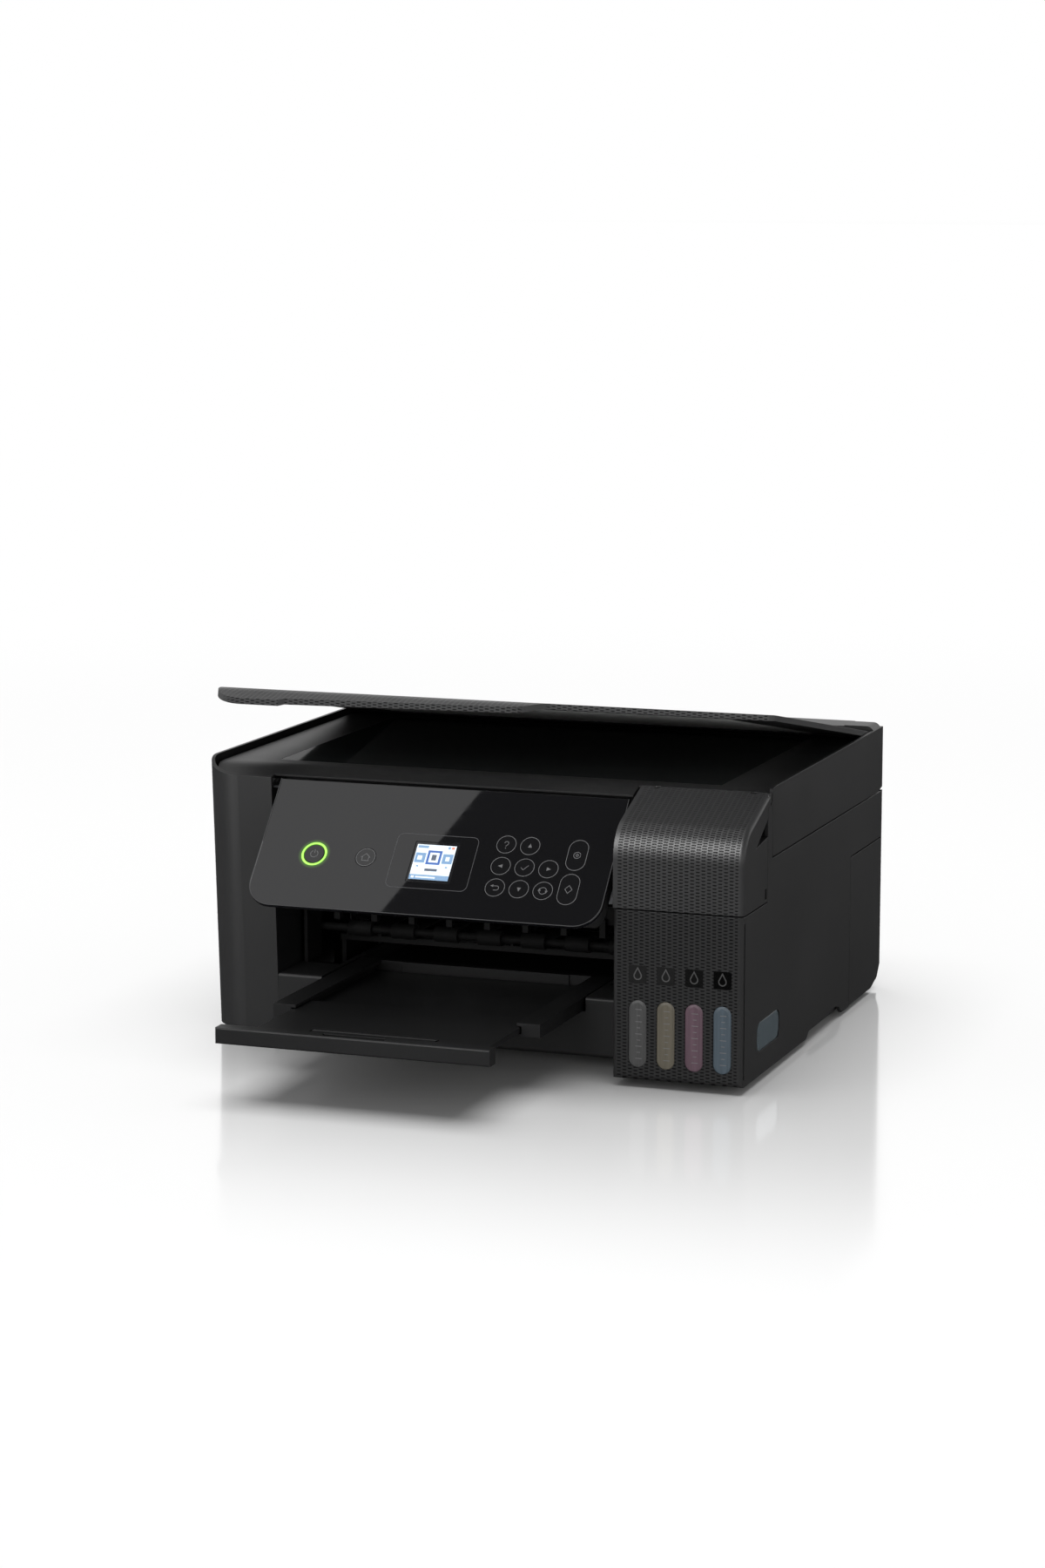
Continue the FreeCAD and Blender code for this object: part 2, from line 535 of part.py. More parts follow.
def tank_cover():
    """Hooded cover over the ink tanks, open at the back and hinged at its top rear edge."""
    y, z = TANK_COVER_AXIS
    room = box((TANK_X - 1, HALF_W + 1), (-1, y), (TANK_SEAM_Z, 200))
    outer = under_skin(0, (TANK_X, HALF_W)).common(room)
    inner = under_skin(WALL, (TANK_X + WALL, HALF_W - WALL))
    right = [e for e in outer.Edges if e.CenterOfMass.x > HALF_W - 0.1 and e.CenterOfMass.y < y - 1
             and e.CenterOfMass.z > TANK_SEAM_Z + 1]
    outer = outer.makeFillet(3.0, right)
    shell = outer.cut(inner).cut(box((TANK_X - 1, HALF_W + 1), (50.0, 70), (TANK_SEAM_Z - 1, 168.4)))
    barrel = rod_x(y, z, 3.2, (TANK_X, HALF_W - 0.2)).common(under_skin(0, (TANK_X, HALF_W)))
    shell = shell.fuse(barrel)
    for x in ((113.6, 117.4), (175.2, 179.0)):
        shell = shell.cut(rod_x(y, z, 3.6, x))
        shell = shell.cut(box(x, (50, 60), (160, z + 0.2)))
    shell = shell.fuse(grip_scoop(1.2)).cut(grip_scoop(0))
    shell = shell.cut(box((HALF_W - 4, HALF_W + 1), (45.0, 48.8), (112.2, 119.0)))
    pins = [rod_x(y, z, 1.6, (x - 4, x + 4)) for x in (115.5, 177.1)]
    return union([shell] + pins)


def grip_scoop(grow):
    """Finger hold in the tank cover's right side, deepest at its back edge; grow gives its lining."""
    y, z = 24.5 - 3 * grow, 147.5 - grow
    face = Part.makePolygon([V(HALF_W - 0.5, y, z), V(HALF_W - 0.5, 50.0, z + 3.0),
                             V(HALF_W - 0.5, 50.0, z + 14.0 + 3 * grow), V(HALF_W - 0.5, y, z)])
    wedge = Part.Face(face).extrude(V(-8, 0, 0))
    if not grow:
        wedge = wedge.fuse(Part.Face(face).extrude(V(2, 0, 0)))
    deep = HALF_W - 4.4 - grow
    plane = plan_prism([(HALF_W + 1.6, 20), (HALF_W + 1.6, 50.0), (deep, 50.0), (HALF_W + 0.4 - grow, 22)],
                       (140, 170))
    return wedge.common(plane)


# ---- scanner unit ----
def deck_under(inset, x):
    return under_skin(DECK_DROP + inset, x, SEAM_Z)


def scanner_base():
    """Tub of the scanner unit: deck, right side wall, front strip over the panel and rear corners."""
    x0, x1 = -HALF_W + 5.0, HALF_W - WALL + 0.5
    room = box((x0, x1), (62.8, 310.5), (141, 190))
    tub = deck_under(0, (x0, x1)).common(room)
    tub_hollow = deck_under(DECK_T, (x0 + 2, x1 - 2.7)).common(box((x0, x1), (65, 291), (143, 190)))
    tub = tub.cut(tub_hollow)
    # the deck's front parts: over the left column, and the strip above the control panel
    apron = deck_under(0, (x0, PANEL_X[1] - 0.5)).cut(deck_under(DECK_T, (x0 - 1, PANEL_X[1] + 1)))
    apron = apron.common(union([box((-300, COLUMN_X - WALL - 0.6), (COLUMN_FRONT + 3.6, 63.5), (150, 190)),
                                box((COLUMN_X - WALL - 1, 300), (STRIP_Y, 63.5), (150, 190))]))
    apron = apron.cut(under_skin(DECK_DROP + 1.1, (COLUMN_X - WALL - 0.7, 300)).common(
        box((COLUMN_X - WALL - 0.7, 300), (STRIP_Y - 1, STRIP_Y + 4), (150, 190))))
    corner = Part.makeCylinder(COLUMN_R - 5.4, 60, V(x0 + COLUMN_R - 5.4, COLUMN_FRONT + 3.6 + COLUMN_R - 5.4, 140))
    block = box((x0 - 1, x0 + COLUMN_R - 5.4), (COLUMN_FRONT, COLUMN_FRONT + 3.6 + COLUMN_R - 5.4), (140, 200))
    apron = apron.cut(block.cut(corner))
    unit = tub.fuse(apron)
    unit = unit.cut(box((GLASS_X[0] - 0.2, GLASS_X[1] + 0.2), (GLASS_Y[0] - 0.2, GLASS_Y[1] + 0.2),
                        (TOP_Z - DECK_DROP - 1.9, TOP_Z)))
    unit = unit.cut(box((GLASS_X[0] + 3, GLASS_X[1] - 3), (GLASS_Y[0] + 3, GLASS_Y[1] - 3), (165, TOP_Z)))
    # right side wall, standing above the deck
    outline = [(55, SEAM_Z), (UNIT_PIVOT[0], SEAM_Z), (REAR_Y, 138.4), (REAR_Y, TOP_Z), (55, TOP_Z)]
    wall = side_prism(outline, (HALF_W - WALL, HALF_W)).common(unit_drum(UNIT_FRONT_R))
    wall = wall.common(under_skin(0, (HALF_W - WALL, HALF_W)))
    unit = unit.fuse(wall)
    for x in ((-HALF_W, -166.5), (166.5, HALF_W)):
        unit = unit.fuse(rear_corner(x))
    cheek = rod_x(UNIT_PIVOT[0], UNIT_PIVOT[1], CHEEK_R, (-HALF_W, -HALF_W + WALL))
    unit = unit.fuse(cheek.common(under_skin(0, (-HALF_W, 0), 0.0, UNIT_PIVOT[0] + 5)))
    unit = unit.cut(rod_x(LID_AXIS[0], LID_AXIS[1], 3.4, (-LID_SIDE_X - 0.4, LID_SIDE_X + 0.3)))
    cheeks = [cheek.cut(lid_pins(1.2)) for cheek in lid_cheeks()]
    unit = union([unit] + cheeks)
    rail = box((GLASS_X[0] - 8, GLASS_X[1] + 8), (176, 184), (142.9, 147))
    unit = unit.fuse(rail)
    return unit.cut(hinge_rods(2.05)).removeSplitter()


def rear_corner(x):
    """Raised corner block behind the lid, holding one of the unit's hinges."""
    outline = [(304.4, 146), (UNIT_PIVOT[0], 138.0), (REAR_Y, 139), (REAR_Y, 180), (324, 182.4), (304.4, 182.4)]
    block = side_prism(outline, x)
    out = HALF_W if x[1] > 0 else -HALF_W
    crown = [e for e in block.Edges if abs(e.CenterOfMass.x - out) < 0.1 and e.CenterOfMass.z > 170]
    block = block.makeFillet(6.0, crown)
    return block.cut(box((-163, 163), (300, 330), (130, 190)))


def lid_cheeks():
    """Bearings for the lid's hinge pins, standing up from the deck."""
    cheeks = []
    for x in (-144, -100, 97, 141):
        knuckle = rod_x(LID_AXIS[0], LID_AXIS[1], 2.6, (x, x + 3))
        foot = box((x, x + 3), (LID_AXIS[0] - 2.6, LID_AXIS[0] + 2.6), (170, LID_AXIS[1]))
        cheeks.append(knuckle.fuse(foot))
    return cheeks


def lid_pins(r):
    pins = [rod_x(LID_AXIS[0], LID_AXIS[1], r, x) for x in ((-144, -97), (97, 144))]
    return Part.makeCompound(pins)


def hinge_rods(r):
    """Short steel rods on which the scanner unit turns."""
    rods = [rod_x(UNIT_PIVOT[0], UNIT_PIVOT[1], r, x) for x in ((-181, -160), (160, 181))]
    return Part.makeCompound(rods)


def scanner_glass():
    top = TOP_Z - DECK_DROP
    return box(GLASS_X, GLASS_Y, (top - 1.8, top))


def scan_bar():
    body = slab((-143, -124), (86, 280), (148.2, 166), 2)
    foot = box((-141, -126), (172, 188), (147.1, 150)).cut(box((-145, -120), (175.4, 184.6), (140, 147.4)))
    lens = box((-135.5, -131.5), (90, 276), (165.8, 168.4))
    return union([body, foot, lens])


# ---- lid, drawn closed and then turned open ----
def lid_outline():
    """Front edge of the lid from the right corner to the left one, and round the back."""
    left, right = -LID_SIDE_X, LID_SIDE_X
    front = COLUMN_FRONT + 3.8
    r = COLUMN_R - 2.8
    turn = r * (1.0 - math.cos(math.pi / 4))
    rear = LID_AXIS[0]
    knots = [V(16, 51.5, 0), V(27, 54.0, 0), V(36, 63.0, 0), V(47, LID_STEP_Y, 0)]
    bend = Part.BSplineCurve()
    bend.interpolate(Points=knots, InitialTangent=V(1, 0.05, 0), FinalTangent=V(1, 0, 0))
    path = [
        Part.LineSegment(V(left, rear, 0), V(left, front + r, 0)).toShape(),
        Part.Arc(V(left, front + r, 0), V(left + turn, front + turn, 0), V(left + r, front, 0)).toShape(),
        Part.LineSegment(V(left + r, front, 0), V(-134, front, 0)).toShape(),
        Part.LineSegment(V(-134, front, 0), V(-131, front + 3.4, 0)).toShape(),
        Part.LineSegment(V(-131, front + 3.4, 0), knots[0]).toShape(),
        bend.toShape(),
        Part.LineSegment(knots[-1], V(right - 4, LID_STEP_Y, 0)).toShape(),
        Part.Arc(V(right - 4, LID_STEP_Y, 0), V(right - 1.17, LID_STEP_Y + 1.17, 0),
                 V(right, LID_STEP_Y + 4, 0)).toShape(),
        Part.LineSegment(V(right, LID_STEP_Y + 4, 0), V(right, rear, 0)).toShape(),
        Part.LineSegment(V(right, rear, 0), V(left, rear, 0)).toShape(),
    ]
    return Part.Face(Part.Wire(path))


def lid_cover():
    plan = lid_outline()
    column = plan.extrude(V(0, 0, 300))
    x = (-HALF_W, HALF_W)
    skin = under_skin(0, x).cut(under_skin(LID_T, x)).common(column)
    knuckle = rod_x(LID_AXIS[0], LID_AXIS[1], 3.0, (-LID_SIDE_X, LID_SIDE_X))
    lid = skin.fuse(knuckle)
    recess = box((-152, 152), (79, 288), (TOP_Z - LID_T - 1, TOP_Z - 1.9))
    lid = lid.cut(recess)
    for cheek in (-144, -100, 97, 141):
        lid = lid.cut(rod_x(LID_AXIS[0], LID_AXIS[1], 3.2, (cheek - 0.3, cheek + 3.3)))
        lid = lid.cut(box((cheek - 0.3, cheek + 3.3), (LID_AXIS[0] - 3.2, LID_AXIS[0] + 4), (170, 185)))
    lid = lid.cut(lid_pins(1.25))
    return turned(lid.removeSplitter(), LID_AXIS, LID_OPEN)


def lid_mat():
    top = TOP_Z - 1.9
    return turned(slab((-151, 151), (80, 287), (top - 1.5, top), 3), LID_AXIS, LID_OPEN)


# ---- rear paper feeder ----
def feeder_slot():
    """Paper channel from the top of the feeder down to the feed roller."""
    side = [(326, 190), (338, 190), (333.5, 134), (315, 96), (303, 96), (321, 134)]
    return side_prism(side, (PAPER_X[0] - 3, PAPER_X[1] + 3))


def rear_feeder_housing():
    upper = box((-164.5, 164.5), (317.8, 345), (136.6, 177.0))
    edges = [e for e in upper.Edges if abs(e.tangentAt(e.FirstParameter).z) > 0.9 and e.CenterOfMass.y > 340]
    upper = upper.makeFillet(6, edges)
    lower = box((-164.5, 164.5), (297, 324.6), (98, 137.5))
    skirt = slab((-164.5, 164.5), (REAR_Y + 0.2, 345), (98.3, 140), 6)
    housing = union([upper, lower, skirt]).cut(feeder_slot())
    for x in ((-162, PAPER_X[0] - 6), (PAPER_X[1] + 6, 162)):
        housing = housing.cut(box(x, (300, 315.5), (95, 133)))
        housing = housing.cut(box(x, (320.5, 342), (102, 174.4)))
    housing = housing.cut(box((PAPER_X[0] - 6, PAPER_X[1] + 6), (337, 342.5), (102, 160)))
    for x in (-1, 1):
        pin = rod_x(UNIT_PIVOT[0], UNIT_PIVOT[1], 5, sorted_range(x * 160, x * 164.5))
        housing = housing.fuse(pin)
    housing = housing.cut(hinge_rods(2.0)).cut(rod_x(FEEDER_AXIS[0], FEEDER_AXIS[1], 2.4, (-170, 170)))
    return housing.removeSplitter()


def sorted_range(a, b):
    return (min(a, b), max(a, b))


FEEDER_AXIS = (343.6, 177.8)


def feeder_cover():
    plate = box((-163.5, 163.5), (318.6, 343.6), (177.4, 179.6))
    barrel = rod_x(FEEDER_AXIS[0], FEEDER_AXIS[1], 1.8, (-163.5, 163.5))
    grip = box((-20, 20), (318.6, 320.4), (178.6, 180.4))
    return plate.fuse(barrel).cut(grip).removeSplitter()


def edge_guide():
    x0 = PAPER_X[0] - 2.0
    plate = box((x0, x0 + 2.4), (327, 333.4), (140, 175.6))
    foot = box((x0, x0 + 12), (327, 328.6), (140, 144))
    pull = box((x0, x0 + 2.4), (333, 334.6), (164, 172))
    return union([plate, foot, pull])


# ---- works inside ----
def carriage_rail():
    web = box((-176, 176), (190, 191.5), (66, 122)).cut(box((-156, -140), (180, 195), (60, 78)))
    lips = [box((-176, 176), (184, 191.5), (120.5, 122)), box((-138, 176), (190, 196.5), (66, 67.5))]
    return union([web] + lips)


def print_carriage():
    x0, x1 = CARRIAGE_X
    body = slab((x0, x1), (120, 182), (76, 112), 4)
    hood = slab((x0 + 4, x1 - 4), (124, 176), (111, 120), 4)
    head = box((x0 + 12, x1 - 12), (132, 172), (64, 77))
    hook = box((x0 + 8, x1 - 8), (180, 188.6), (108, 118.5))
    return union([body, hood, head, hook])


def platen():
    x0, x1 = PAPER_X
    deck = box((x0, x1), (126, 186), (50, 54))
    ribs = [box((x0 + 4 + i * 23, x0 + 6 + i * 23), (126, 186), (53.5, 57)) for i in range(10)]
    legs = [box((x, x + 3), (128, 184), (BASE_Z + 3.4, 51)) for x in (x0, x1 - 3)]
    return union([deck] + ribs + legs)


def maintenance_station():
    x0, x1 = CARRIAGE_X
    tray = box((x0, x1), (124, 184), (BASE_Z + 3.4, 56))
    tray = tray.cut(box((x0 + 3, x1 - 3), (128, 180), (44, 60)))
    cap = box((x0 + 14, x1 - 14), (134, 172), (46, 60))
    return union([tray, cap, box((x0 + 28, x0 + 32), (150, 154), (43, 47))])


def exit_guide():
    beam = box((-134, 100), (100, 108), (78, 90))
    fingers = [box((x, x + 4), (96, 102), (70, 82)) for x in range(-118, 90, 26)]
    brackets = [box((x, x + 2.2), (84, 108), (LEDGE_Z, 90)) for x in (-134, 98)]
    return union([beam] + fingers + brackets)


def shaft_with_rollers(y, z, shaft_r, roller_r, x, rollers, gear_r, gear_x):
    parts = [rod_x(y, z, shaft_r, x)]
    parts += [rod_x(y, z, roller_r, (rx, rx + 16)) for rx in rollers]
    gear = rod_x(y, z, gear_r, (gear_x, gear_x + 5))
    teeth = int(gear_r * 2)
    for i in range(teeth):
        angle = 2 * math.pi * i / teeth
        gear = gear.cut(rod_x(y + gear_r * math.cos(angle), z + gear_r * math.sin(angle), 0.9,
                              (gear_x - 1, gear_x + 6)))
    return union(parts + [gear])


FEED_AXIS = (204.0, 61.0)
EXIT_AXIS = (114.0, 61.0)
MOTOR_AXIS = (204.0, 40.2)


def feed_roller():
    return shaft_with_rollers(FEED_AXIS[0], FEED_AXIS[1], 4, 8, (-152, 60), range(-110, 60, 34), 14, -150)


def exit_roller():
    return shaft_with_rollers(EXIT_AXIS[0], EXIT_AXIS[1], 2.5, 5, (-146, 94), range(-114, 90, 30), 9, -144)


def feed_motor():
    can = rod_x(MOTOR_AXIS[0], MOTOR_AXIS[1], 13, (-143, -116))
    plate = box((-144.5, -143), (186, 222), (22, 56))
    hole = rod_x(MOTOR_AXIS[0], MOTOR_AXIS[1], 2.0, (-150, -130))
    return can.fuse(plate).cut(hole).removeSplitter()


def drive_pinion():
    return shaft_with_rollers(MOTOR_AXIS[0], MOTOR_AXIS[1], 1.6, 1.6, (-151, -132), [], 6, -150)


def main_board():
    board = box((178, 179.6), (200, 312), (BOARD_Z, 96))
    chips = [box((174, 178.2), (y, y + 18), (z, z + 16)) for y in (215, 255) for z in (28, 62)]
    ports = box((168, 178.2), (296, 312), (60, 74))
    return union([board, ports] + chips)


def power_supply():
    case = slab((-176, -118), (232, 300), (BASE_Z + 3.4, 52), 2)
    for y in range(242, 292, 8):
        case = case.cut(box((-168, -126), (y, y + 3), (50, 53)))
    return case


def power_inlet():
    shell = box((-163.6, -134.4), (306, REAR_Y - 0.6), (36.4, 57.6))
    well = slab((-160.5, -137.5), (312, REAR_Y), (39.5, 54.5), 2)
    pins = [rod_y(x, 47, 1.2, (311, REAR_Y - 3)) for x in (-153.5, -144.5)]
    return union([shell.cut(well)] + pins)


def usb_port():
    shell = box((164.4, 177.6), (308, REAR_Y - 0.6), (36.4, 48.6))
    well = box((166.0, 176.0), (314, REAR_Y), (38.0, 47.0))
    tongue = box((168.4, 173.6), (313, REAR_Y - 3), (41.0, 44.0))
    return shell.cut(well).fuse(tongue).removeSplitter()


def all_nodes():
    """Every node's name and shape."""
    nodes = {
        "base_pan": base_pan(), "rubber_feet": rubber_feet(), "front_lower_cover": front_lower_cover(),
        "left_side_cover": left_side_cover(), "right_side_cover": right_side_cover(),
        "rear_cover": rear_cover(), "cover_screws": cover_screws(),
        "rear_feeder_housing": rear_feeder_housing(), "feeder_cover": feeder_cover(),
        "edge_guide": edge_guide(), "unit_hinge_rods": hinge_rods(2.0),
        "scanner_base": scanner_base(), "scanner_glass": scanner_glass(), "scan_bar": scan_bar(),
        "lid_cover": lid_cover(), "lid_mat": lid_mat(), "lid_hinge_pins": lid_pins(1.2),
        "panel_shell": panel_shell(), "panel_fascia": panel_fascia(),
        "display_screen": display_screen(), "panel_hinge_pins": panel_hinge_pins(),
        "output_tray": output_tray(), "tray_extension": tray_extension(), "tray_stop": tray_stop(),
        "tank_housing": tank_housing(), "tank_cover": tank_cover(), "ink_windows": ink_windows(),
        "carriage_rail": carriage_rail(), "print_carriage": print_carriage(), "platen": platen(),
        "maintenance_station": maintenance_station(), "exit_guide": exit_guide(),
        "feed_roller": feed_roller(), "exit_roller": exit_roller(), "feed_motor": feed_motor(),
        "drive_pinion": drive_pinion(), "main_board": main_board(), "power_supply": power_supply(),
        "power_inlet": power_inlet(), "usb_port": usb_port(),
    }
    for name, x, v, kind in keys_layout():
        nodes[name] = key_solid(x, v, kind)
    for colour, x in zip(("black", "yellow", "magenta", "cyan"), tank_centres()):
        nodes["ink_tank_" + colour] = ink_tank(x)
        nodes["tank_cap_" + colour] = tank_cap(x)
    return nodes


os.makedirs("parts", exist_ok=True)
for node, shape in all_nodes().items():
    shape = shape.copy()
    shape.translate(V(0, -ORIGIN_Y, 0))
    shape.exportStep("parts/" + node + ".step")
    size = shape.BoundBox
    print("%-22s solids %d valid %s volume %9.0f  X %.1f %.1f  Y %.1f %.1f  Z %.1f %.1f" % (
        node, len(shape.Solids), shape.isValid(), shape.Volume, size.XMin, size.XMax, size.YMin,
        size.YMax, size.ZMin, size.ZMax))
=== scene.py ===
"""Visual model of a desktop inkjet printer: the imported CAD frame, with its looks, in metres."""
import bpy, bmesh
import json
import math
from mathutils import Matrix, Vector


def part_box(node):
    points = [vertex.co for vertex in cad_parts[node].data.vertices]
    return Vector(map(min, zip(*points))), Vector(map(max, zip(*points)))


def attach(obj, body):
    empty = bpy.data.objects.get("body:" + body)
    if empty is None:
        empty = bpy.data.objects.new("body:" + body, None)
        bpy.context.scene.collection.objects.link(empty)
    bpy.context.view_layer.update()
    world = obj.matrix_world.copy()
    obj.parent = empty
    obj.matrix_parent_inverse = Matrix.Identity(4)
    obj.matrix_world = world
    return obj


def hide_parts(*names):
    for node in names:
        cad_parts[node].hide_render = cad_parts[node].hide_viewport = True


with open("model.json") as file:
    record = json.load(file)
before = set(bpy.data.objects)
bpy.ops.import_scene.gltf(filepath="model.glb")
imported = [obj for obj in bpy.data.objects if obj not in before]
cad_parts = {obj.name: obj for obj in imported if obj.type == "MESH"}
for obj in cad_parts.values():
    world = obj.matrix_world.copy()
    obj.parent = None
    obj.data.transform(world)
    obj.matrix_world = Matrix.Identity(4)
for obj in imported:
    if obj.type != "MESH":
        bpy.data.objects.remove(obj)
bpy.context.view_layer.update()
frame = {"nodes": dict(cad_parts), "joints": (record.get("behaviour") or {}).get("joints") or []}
nodes = frame["nodes"]
MM = 0.001


# ---- camera ----
# A long lens from the right and a little above, standing well back, so that upright edges stay upright.
lens = bpy.data.cameras.new("camera")
lens.lens = 86.2
lens.sensor_width = 36.0
lens.sensor_fit = "AUTO"
camera = bpy.data.objects.new("camera", lens)
camera.location = (0.8115, -2.225, 0.557)
camera.rotation_euler = (math.radians(90 - 9.45), 0, math.radians(19.9))
bpy.context.scene.collection.objects.link(camera)
bpy.context.scene.camera = camera
bpy.context.scene.view_settings.view_transform = "Standard"


# ---- studio floor and light ----
# A pale table, polished under the printer and fading into white walls, lit by a lamp of its own.  The
# overhead softbox's slanted edge divides the shine on the control panel; small lamps lift two corners.
def new_object(name, mesh, body=None):
    """Link a mesh as an object; a piece of the printer also says its body."""
    thing = bpy.data.objects.new(name, mesh)
    bpy.context.scene.collection.objects.link(thing)
    if body:
        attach(thing, body)
    return thing


def shader(name):
    """A new node material with its principled shader."""
    made = bpy.data.materials.new(name)
    made.use_nodes = True
    return made, made.node_tree, made.node_tree.nodes["Principled BSDF"]


def add(tree, kind, inputs=None, **settings):
    """Add a node, set its properties and its unlinked inputs, and link the inputs that are sockets."""
    node = tree.nodes.new(kind)
    for key, value in settings.items():
        setattr(node, key, value)
    for key, value in (inputs or {}).items():
        if isinstance(value, bpy.types.NodeSocket):
            tree.links.new(value, node.inputs[key])
        else:
            node.inputs[key].default_value = value
    return node


FLOOR_HALF = 30.0
floor_mesh = bpy.data.meshes.new("floor")
floor_mesh.from_pydata([(-FLOOR_HALF, -FLOOR_HALF, 0), (FLOOR_HALF, -FLOOR_HALF, 0),
                        (FLOOR_HALF, FLOOR_HALF, 0), (-FLOOR_HALF, FLOOR_HALF, 0)], [], [(0, 1, 2, 3)])
floor = new_object("floor", floor_mesh)
floor.visible_glossy = False
floor_finish, tree, bsdf = shader("polished_table")
bsdf.inputs["Base Color"].default_value = (0.90, 0.90, 0.90, 1)
bsdf.inputs["Roughness"].default_value = 0.6
bsdf.inputs["Specular IOR Level"].default_value = 0.0
place = add(tree, "ShaderNodeTexCoord").outputs["Object"]
near = add(tree, "ShaderNodeSeparateXYZ", {0: place}).outputs["Y"]
polish = add(tree, "ShaderNodeMapRange", {"Value": near, "From Min": -0.52, "From Max": -0.10,
                                           "To Min": 0.0, "To Max": 0.42}, interpolation_type="SMOOTHSTEP")
mirror = add(tree, "ShaderNodeBsdfAnisotropic", {"Color": (1, 1, 1, 1), "Roughness": 0.10})
polished = add(tree, "ShaderNodeMixShader", {0: polish.outputs["Result"], 1: bsdf.outputs["BSDF"],
                                              2: mirror.outputs["BSDF"]})
away = add(tree, "ShaderNodeVectorMath", {0: place}, operation="LENGTH").outputs["Value"]
far = add(tree, "ShaderNodeMapRange", {"Value": away, "From Min": 0.7, "From Max": 2.2},
          interpolation_type="SMOOTHSTEP")
lit = add(tree, "ShaderNodeEmission", {"Color": (1, 1, 1, 1), "Strength": 1.0})
faded = add(tree, "ShaderNodeMixShader", {0: far.outputs["Result"], 1: polished.outputs["Shader"],
                                           2: lit.outputs["Emission"]})
tree.links.new(faded.outputs["Shader"], tree.nodes["Material Output"].inputs["Surface"])
floor_mesh.materials.append(floor_finish)

# the studio walls: white to a third of the way up, grey above, and dark below the table's edge
WALL_LEVELS = [(-0.06, 0.03), (-0.02, 1.0), (0.34, 1.0), (0.62, 0.22), (1.0, 0.10)]
world = bpy.data.worlds.new("studio")
bpy.context.scene.world = world
world.use_nodes = True
tree = world.node_tree
direction = add(tree, "ShaderNodeTexCoord").outputs["Generated"]
height = add(tree, "ShaderNodeSeparateXYZ", {0: direction}).outputs["Z"]
walls = add(tree, "ShaderNodeValToRGB", {0: add(tree, "ShaderNodeMapRange", {
    "Value": height, "From Min": -1.0, "From Max": 1.0}).outputs["Result"]})
ramp = walls.color_ramp
while len(ramp.elements) < len(WALL_LEVELS):
    ramp.elements.new(0.5)
for element, (level, white) in zip(ramp.elements, WALL_LEVELS):
    element.position = (level + 1) / 2
for element, (level, white) in zip(ramp.elements, WALL_LEVELS):
    element.color = (white, white, white, 1)
tree.links.new(walls.outputs["Color"], tree.nodes["Background"].inputs["Color"])
tree.nodes["Background"].inputs["Strength"].default_value = 1.0


def softbox(name, place, aim, size, power, roll=0.0, target=floor, link="EXCLUDE"):
    """Rectangular area light that faces its aim; it misses its target, or lights that alone."""
    lamp = bpy.data.lights.new(name, "AREA")
    lamp.shape = "RECTANGLE"
    lamp.size, lamp.size_y = size
    lamp.energy = power
    thing = bpy.data.objects.new(name, lamp)
    thing.location = place
    thing.visible_camera = False
    look = Vector(aim) - Vector(place)
    thing.rotation_euler = look.to_track_quat("-Z", "Y").to_euler()
    thing.rotation_euler.rotate_axis("Z", roll)
    bpy.context.scene.collection.objects.link(thing)
    receivers = bpy.data.collections.new(name + "_receivers")
    receivers.objects.link(target)
    receivers.collection_objects[0].light_linking.link_state = link
    thing.light_linking.receiver_collection = receivers
    return thing


softbox("overhead_softbox", (-1.335, -0.20, 2.0), (-1.335, -0.20, 0.0), (1.5, 2.4), 13.5, math.radians(-40.4))
softbox("front_softbox", (-0.45, -1.9, 1.5), (0.0, 0.0, 0.12), (1.0, 0.9), 14.0)
softbox("nose_light", (-0.30, -1.02, 1.02), (0.14, -0.10, 0.15), (0.5, 0.9), 15.0, target=nodes["tank_cover"],
        link="INCLUDE")
softbox("corner_light", (-1.1, -1.2, 0.30), (-0.18, -0.10, 0.10), (0.5, 0.9), 6.0,
        target=nodes["left_side_cover"], link="INCLUDE")
softbox("table_light", (0.0, -0.2, 5.0), (0.0, -0.2, 0.0), (5.0, 5.0), 255.0, link="INCLUDE")


